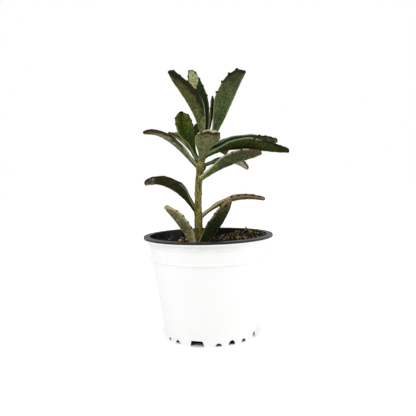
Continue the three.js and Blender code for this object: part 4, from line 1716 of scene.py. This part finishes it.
LEAF_FORMS = [
    LeafForm(
        "leaf_lowest_left", BLEACHED, height=77, bearing=200, reach=32.5, lift=42, sway=1,
        rise=60, droop=40, half_width=9.8, fold=45, stalk=0.56, widest=0.55, bluntness=2.8,
        thickness=4, tooth=0.5, teeth=(0.4, 0.52, 0.66, 0.8),
    ),
    LeafForm(
        "leaf_lowest_right", DUSKY, height=77, bearing=325, reach=36, lift=47, sway=2,
        rise=50, droop=66, half_width=10.4, fold=50, stalk=0.72, widest=0.5, bluntness=2.3,
        thickness=4, tooth=0.5, teeth=(0.5, 0.7, 0.86),
    ),
    LeafForm(
        "leaf_second_left", CAPPED, height=113.5, bearing=178, reach=48.6, lift=25.5, sway=1,
        rise=61, droop=-30, half_width=10, fold=55, stalk=0.28, widest=0.46, bluntness=2.4,
        thickness=3.8, tooth=0.4, teeth=(0.45, 0.58, 0.7, 0.82),
    ),
    LeafForm(
        "leaf_second_right", TAN_STRIP, height=108, bearing=8, reach=64.5, lift=14.5, sway=0,
        rise=42, droop=-17, half_width=5.6, fold=40, stalk=0.35, widest=0.63, bluntness=2.5,
        thickness=3.5, tooth=0.4, teeth=(0.5, 0.6, 0.7, 0.8, 0.9),
    ),
    LeafForm(
        "leaf_third_right", SPECKLED, height=143.5, bearing=348, reach=59, lift=21, sway=0.5,
        rise=33, droop=9, half_width=11.8, fold=55, stalk=0.36, widest=0.62, bluntness=2.4,
        thickness=3.4, tooth=0.6, teeth=(0.6, 0.74, 0.86, 0.95),
    ),
    LeafForm(
        "bud_third_right", FRESH, height=149, bearing=345, reach=6.5, lift=6, sway=0,
        rise=55, droop=60, half_width=1.9, fold=40, stalk=0.5, widest=0.5, bluntness=2.2,
        thickness=1.6,
    ),
    LeafForm(
        "leaf_fourth_left", SILVER_BROWN, height=154.5, bearing=184, reach=51.5, lift=31.8, sway=3.5,
        rise=48, droop=-13, half_width=5.7, fold=45, stalk=0.4, widest=0.5, bluntness=2.5,
        thickness=3.6, tooth=0.4, teeth=(0.55, 0.7, 0.84),
    ),
    LeafForm(
        "leaf_fourth_right", PALE_TIP, height=155.5, bearing=30, reach=56, lift=-3.5, sway=4,
        rise=22, droop=-38, half_width=6.3, fold=45, stalk=0.28, widest=0.6, bluntness=2.6,
        thickness=3.1, tooth=0.6, teeth=(0.55, 0.7, 0.84),
    ),
    LeafForm(
        "leaf_fifth_left", DEEP, height=158.5, bearing=162, reach=18, lift=48.5, sway=-3,
        rise=60, droop=103, half_width=10.2, fold=45, roll=-50, stalk=0.21, widest=0.62, bluntness=3.6,
        thickness=3.4, tooth=0.9, teeth=(0.72, 0.84, 0.965), tip_rise=0.0,
    ),
    LeafForm(
        "leaf_fifth_front", FELT, height=160.5, bearing=276, reach=32, lift=22.5, sway=7.5,
        rise=33, droop=16, half_width=11.3, fold=40, stalk=0.26, widest=0.62, bluntness=2.5,
        thickness=3.2, tooth=0.5, teeth=(0.72, 0.88), tip_rise=0.9, tip_fold=0.2,
    ),
    LeafForm(
        "leaf_fifth_back", TAN_BACK, height=160, bearing=122, reach=50.5, lift=30, sway=7,
        rise=36, droop=10, half_width=5.5, fold=50, stalk=0.3, widest=0.65, bluntness=2.5,
        thickness=2.8, tooth=0.6, teeth=(0.6, 0.74, 0.88),
    ),
    LeafForm(
        "leaf_sixth_right", DARK_OLIVE, height=164, bearing=350, reach=79.5, lift=2.6, sway=3,
        rise=30, droop=-4, half_width=11.5, fold=55, stalk=0.2, widest=0.56, bluntness=1.6,
        thickness=3.5, tooth=0.5, teeth=(0.6, 0.7, 0.8, 0.9), tip_rise=0.04,
    ),
    LeafForm(
        "leaf_sixth_back_left", DEEP, height=166, bearing=100, reach=20, lift=31, sway=1,
        rise=46, droop=85, half_width=8, fold=45, stalk=0.25, widest=0.6, bluntness=2.5,
        thickness=3, tooth=1.0, teeth=(0.7, 0.85, 0.97),
    ),
    LeafForm(
        "leaf_sixth_back_right", NIGHT, height=166, bearing=56, reach=46, lift=2, sway=4,
        rise=30, droop=-25, half_width=9, fold=40, stalk=0.25, widest=0.6, bluntness=2.5,
        thickness=3, tooth=1.0, teeth=(0.6, 0.74, 0.88),
    ),
    LeafForm(
        "leaf_seventh_right", NIGHT, height=169.5, bearing=18, reach=76, lift=8.5, sway=0.5,
        rise=28, droop=5, half_width=9.6, fold=50, stalk=0.5, widest=0.6, bluntness=2.5,
        thickness=3.2, tooth=0.9, teeth=(0.7, 0.79, 0.87, 0.95),
    ),
    LeafForm(
        "leaf_top_left", OLIVE, height=174, bearing=188, reach=32.8, lift=68, sway=-1.5,
        rise=88, droop=55, half_width=12.8, fold=55, roll=12, stalk=0.22, widest=0.52, bluntness=1.65,
        thickness=3.1, tooth=0.9, teeth=(0.6, 0.73, 0.84, 0.93),
    ),
    LeafForm(
        "leaf_top_right", FRESH, height=174, bearing=352, reach=38, lift=66.5, sway=1,
        rise=54, droop=60, half_width=15.5, fold=55, roll=-15, stalk=0.2, widest=0.62, bluntness=2.7,
        thickness=3.8, tooth=1.5, teeth=(0.62, 0.76, 0.88, 0.965), tip_rise=0.0,
    ),
    LeafForm(
        "leaf_top_back", LIT_AND_SHADED, height=176, bearing=88, reach=36, lift=76, sway=14,
        rise=58, droop=66, half_width=9.8, fold=40, roll=14, stalk=0.3, widest=0.55, bluntness=1.7,
        thickness=2.7, tooth=0.8, teeth=(0.6, 0.74, 0.86, 0.95),
    ),
    LeafForm(
        "leaf_young", YOUNG, height=178.5, bearing=10, reach=7.5, lift=42, sway=0.5,
        rise=82, droop=92, half_width=3, fold=50, stalk=0.28, widest=0.66, bluntness=2.3,
        thickness=2.2, tooth=0.4, teeth=(0.7, 0.85),
    ),
]


@dataclass
class Station:
    """One cross-section of a leaf."""

    share: float
    centre: Vector
    across: Vector
    upper: Vector
    along: Vector
    half_width: float
    fold: float
    half_thickness: float
    turned: float = 0.0
    travel: float = 0.0


@dataclass
class Stem:
    """The upright stem, with swellings where leaves join it and scars where old ones were.

    The course gives the x, the height and the radius of points up the stem, a scar its height, its
    bearing in degrees and its size, and the grain its depth and its scales round and along the stem.
    """

    node: str = "stem"
    sides: int = 40
    rings: int = 260
    course: list[tuple[float, float, float]] = field(default_factory=lambda: [
        (-9.0, 69.0, 4.2), (-9.0, 84.0, 4.2), (-8.8, 100.0, 3.9), (-8.8, 122.0, 3.3),
        (-7.6, 142.0, 3.2), (-5.2, 158.0, 3.3), (-1.6, 171.0, 2.8), (0.8, 180.0, 1.8),
    ])
    scars: list[tuple[float, float, float]] = field(default_factory=lambda: [
        (97.0, 262.0, 1.3), (97.5, 80.0, 1.3), (114.6, 250.0, 1.0), (130.0, 196.0, 1.1),
        (130.0, 20.0, 1.1), (140.0, 265.0, 0.9), (121.5, 90.0, 1.0), (105.0, 140.0, 1.0),
    ])
    blend: float = 4.0
    blend_weights: tuple[int, ...] = (1, 4, 6, 4, 1)
    end_sharpness: float = 40.0
    ridge: float = 0.1
    ridge_count: float = 5.0
    ridge_twist: float = 0.06
    grain: tuple[tuple[float, float, float], ...] = ((0.22, 2.2, 0.16), (0.1, 6.0, 0.5))
    leaf_swell: float = 0.55
    leaf_swell_height: float = 3.2
    scar_radius: float = 3.6
    scar_width: float = 1.5
    scar_lip: float = 0.35
    scar_darkness: float = 0.85

    def at(self, height: float) -> tuple[Vector, float]:
        """The middle of the stem and its radius at a height.

        Args:
            height: Height above the ground, in millimetres.

        Returns:
            The middle, and the radius.
        """
        last = len(self.course) - 1
        above = max(1, next((i for i, point in enumerate(self.course) if point[1] >= height), last))
        (x0, z0, r0), (x1, z1, r1) = self.course[above - 1], self.course[above]
        share = (height - z0) / (z1 - z0)
        return Vector((lerp(x0, x1, share), 0.0, height)), lerp(r0, r1, share)

    def smooth_at(self, height: float) -> tuple[Vector, float]:
        """The same, with the corners between stretches rounded off."""
        low, high = self.course[0][1], self.course[-1][1]
        half = len(self.blend_weights) // 2
        steps = range(-half, half + 1)
        samples = [self.at(clamp(height + self.blend * step / half, low, high)) for step in steps]
        total = sum(self.blend_weights)
        x = sum(weight * middle.x for weight, (middle, _) in zip(self.blend_weights, samples)) / total
        radius = sum(weight * reach for weight, (_, reach) in zip(self.blend_weights, samples)) / total
        return Vector((x, 0.0, height)), radius

    def build(self) -> None:
        """Makes and dresses the stem."""
        low, high = self.course[0][1], self.course[-1][1]

        def place(ring: int, step: int) -> tuple[Vector, Marks]:
            """One point on the bark."""
            share = ring / self.rings
            height = lerp(low, high, share)
            angle = math.tau * step / self.sides
            middle, radius = self.smooth_at(height)
            closing = math.sqrt(clamp(min(share, 1 - share) * self.end_sharpness))
            swell, scar = self.marks_at(height, angle)
            ridges = self.ridge * math.sin(self.ridge_count * angle + self.ridge_twist * height)
            spot = Vector((math.cos(angle), math.sin(angle), 0.0))
            grain = sum(
                depth * noise.noise(spot * about + UP * height * along)
                for depth, about, along in self.grain
            )
            reach = (radius + ridges + grain + swell) * closing
            return middle + spot * reach, {"scar": scar}

        piece = lay_rings("stem_bark", self.sides, self.rings, place)
        piece.data.materials.append(StemFinish().dress())
        register(piece, [self.node])

    def marks_at(self, height: float, angle: float) -> tuple[float, float]:
        """How far the bark stands out, and how dark its scar is, at a point.

        Args:
            height: Height above the ground, in millimetres.
            angle: Bearing round the stem, in radians.

        Returns:
            The swelling in millimetres, and the scar from 0 to 1.
        """
        swell = 0.0
        for form in LEAF_FORMS:
            facing = math.cos(angle - math.radians(form.bearing))
            near = hump(height, form.height, self.leaf_swell_height)
            swell += self.leaf_swell * near * clamp(facing) ** 2
        scar = 0.0
        for at_height, bearing, size in self.scars:
            aside = math.remainder(angle - math.radians(bearing), math.tau) * self.scar_radius
            away = math.hypot(aside / self.scar_width, height - at_height) / size
            swell += self.scar_lip * hump(away, 1.2, 0.5)
            scar = max(scar, self.scar_darkness * hump(away, 0.0, 0.9))
        return swell, scar


@dataclass
class Leaf:
    """One folded velvet leaf with a toothed edge, standing in the stem.

    Places along the leaf go from 0 at the stem to 1 at the tip. Each of the lumps is a depth in
    millimetres and a scale.
    """

    form: LeafForm
    stem: Stem
    finish: bpy.types.Material
    sides: int = 40
    rings: int = 150
    tip_crowding: float = 1.35
    base_handle: float = 0.38
    tip_handle: float = 0.34
    keel_softness: float = 0.2
    keel_ridge: float = 0.4
    groove: float = 0.35
    wave: float = 0.4
    tooth_length: float = 3.6
    far_shift: float = 0.03
    neck: float = 0.06
    slimmest: float = 0.25
    twist_to: float = 0.6
    fold_at_stem: float = 0.45
    fold_by: float = 0.35
    thinning_from: float = 0.55
    tip_thickness: float = 0.72
    curl_from: float = 0.84
    curl_power: float = 1.5
    plumpness: float = 0.6
    keel_width: float = 0.14
    groove_width: float = 0.12
    wave_pitch: float = 0.34
    wave_lag: float = 1.3
    tooth_power: int = 9
    tooth_rise: float = 0.75
    tooth_fall: float = 0.4
    tooth_spread: float = 0.6
    lumps: tuple[Span, ...] = ((0.2, 0.28), (0.1, 0.8))
    stations: list[Station] = field(init=False)

    def build(self) -> None:
        """Makes and dresses the leaf."""
        self.stations = self.survey()
        piece = lay_rings(f"{self.form.node}_velvet", self.sides, self.rings, self.place)
        piece.data.materials.append(self.finish)
        register(piece, [self.form.node])

    def midrib(self) -> tuple[list[Vector], Vector]:
        """The four control points of the midrib, and the level direction across it."""
        form = self.form
        bearing = math.radians(form.bearing)
        outward = Vector((math.cos(bearing), math.sin(bearing), 0.0))
        sideways = Vector((-math.sin(bearing), math.cos(bearing), 0.0))
        middle, radius = self.stem.at(form.height)
        start = middle + outward * radius / 2
        end = middle + outward * form.reach + sideways * form.sway + UP * form.lift
        length = (end - start).length
        level = (end - start).copy()
        level.z = 0.0
        level.normalize()
        rise, droop = math.radians(form.rise), math.radians(form.droop)
        leaving = start + (outward * math.cos(rise) + UP * math.sin(rise)) * length * self.base_handle
        arriving = end - (level * math.cos(droop) + UP * math.sin(droop)) * length * self.tip_handle
        return [start, leaving, arriving, end], sideways

    def half_width(self, share: float) -> float:
        """Midrib to edge at a share of the way to the tip, without the teeth."""
        form = self.form
        grown = lerp(form.stalk, 1.0, smoothstep(share, self.neck, form.widest))
        beyond = max(0.0, (share - form.widest) / (1 - form.widest))
        closing = math.sqrt(max(0.0, 1 - beyond**form.bluntness))
        return max(self.slimmest, form.half_width * grown * closing)

    def survey(self) -> list[Station]:
        """Works out every cross-section, and how far along the edge each one lies.

        Returns:
            The stations from stem to tip.
        """
        form = self.form
        (p0, p1, p2, p3), sideways = self.midrib()
        stations = []
        for ring in range(self.rings + 1):
            share = 1 - (1 - ring / self.rings) ** self.tip_crowding
            rest = 1 - share
            centre = p0 * rest**3 + p1 * 3 * rest**2 * share + p2 * 3 * rest * share**2 + p3 * share**3
            along = (p1 - p0) * rest**2 + (p2 - p1) * 2 * rest * share + (p3 - p2) * share**2
            along.normalize()
            across = (sideways - along * along.dot(sideways)).normalized()
            twist = math.radians(form.roll) * smoothstep(share, 0.0, self.twist_to)
            across.rotate(Matrix.Rotation(twist, 3, along))
            upper = along.cross(across)
            opening = lerp(self.fold_at_stem, 1.0, smoothstep(share, 0.0, self.fold_by))
            fold = math.radians(form.fold) * opening * lerp(1.0, form.tip_fold, share)
            half_width = self.half_width(share)
            thinning = lerp(1.0, self.tip_thickness, smoothstep(share, self.thinning_from, 1.0))
            curl = smoothstep(share, self.curl_from, 1.0) ** self.curl_power
            curl_up = form.tip_rise * form.half_width * math.sin(fold) * curl
            stations.append(Station(
                share=share,
                centre=centre + upper * curl_up,
                across=across,
                upper=upper,
                along=along,
                half_width=half_width,
                fold=fold,
                half_thickness=form.thickness / 2 * thinning * min(1.0, half_width / 2),
            ))
        for before, here in zip(stations, stations[1:]):
            ahead = (here.centre - before.centre).length
            wider = here.half_width - before.half_width
            here.travel = before.travel + math.hypot(ahead, wider)
            here.turned = math.atan2(-wider, ahead)
        return stations

    def tooth_at(self, here: Station, is_far: bool) -> float:
        """How much of a tooth there is at a station: 1 at its point, 0 between teeth."""
        length = self.stations[-1].travel
        most = 0.0
        for number, spot in enumerate(self.form.teeth):
            ahead = (here.share - spot - self.far_shift * is_far) * length / self.tooth_length
            start = -self.tooth_rise if ahead < 0 else self.tooth_fall
            rising = smoothstep(ahead, start, 0.0)
            chance = noise.noise(Vector((number * 2.3, self.form.height, 7.0 * is_far)))
            size = 1.0 + self.tooth_spread * chance
            most = max(most, rising * size)
        return most

    def place(self, ring: int, step: int) -> tuple[Vector, Marks]:
        """One point on the leaf.

        Args:
            ring: Which station.
            step: Which point round it.

        Returns:
            The point, and the marks that the finish reads.
        """
        here = self.stations[ring]
        angle = math.tau * step / self.sides
        across, upper = math.cos(angle), math.sin(angle)
        soft = self.keel_softness
        crest = math.hypot(1.0, soft) - soft
        arch = (math.hypot(across, soft) - soft) / crest
        slope = across / math.hypot(across, soft) / crest
        level, raised = math.cos(here.fold), math.sin(here.fold)
        middle = here.centre + here.across * (here.half_width * across * level)
        middle = middle + here.upper * (here.half_width * arch * raised)
        outward = (here.across * level + here.upper * (slope * raised)).normalized()
        normal = here.along.cross(outward)
        half = math.copysign(abs(upper) ** self.plumpness, upper) * here.half_thickness
        depth, width = (self.keel_ridge, self.keel_width) if upper < 0 else (self.groove, self.groove_width)
        slack = min(1.0, here.half_thickness)
        half -= depth * hump(across, 0.0, width) * abs(upper) * slack
        ripple = math.sin(here.travel * self.wave_pitch + across * self.wave_lag)
        middle = middle + normal * (self.wave * across * across * ripple)
        tooth = self.tooth_at(here, across > 0) * abs(across) ** self.tooth_power
        side = outward * math.copysign(1.0, across) if across else outward
        out = side * math.cos(here.turned) + here.along * math.sin(here.turned)
        middle = middle + out * tooth * self.form.tooth
        lumps = sum(deep * noise.noise(middle * scale) for deep, scale in self.lumps)
        length = self.stations[-1].travel
        edge = min((1 - abs(across)) * here.half_width, (1 - here.share) * length)
        point = middle + normal * (half + lumps * slack)
        marks = {"across": across, "along": here.share, "upper": upper, "edge": edge, "tooth": tooth}
        return point, marks


def main() -> None:
    """Builds the plant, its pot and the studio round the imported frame."""
    logging.basicConfig(level=logging.INFO, format="%(name)s: %(message)s")
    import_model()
    Studio().build()
    Pot().build()
    Soil().build()
    BarkChips().build()
    FoodBeads().build()
    DeadSprig().build()
    stem = Stem()
    stem.build()
    finishes: dict[str, bpy.types.Material] = {}
    for form in LEAF_FORMS:
        if form.finish.name not in finishes:
            finishes[form.finish.name] = form.finish.dress()
        Leaf(form, stem, finishes[form.finish.name]).build()


if __name__ == "__main__":
    main()
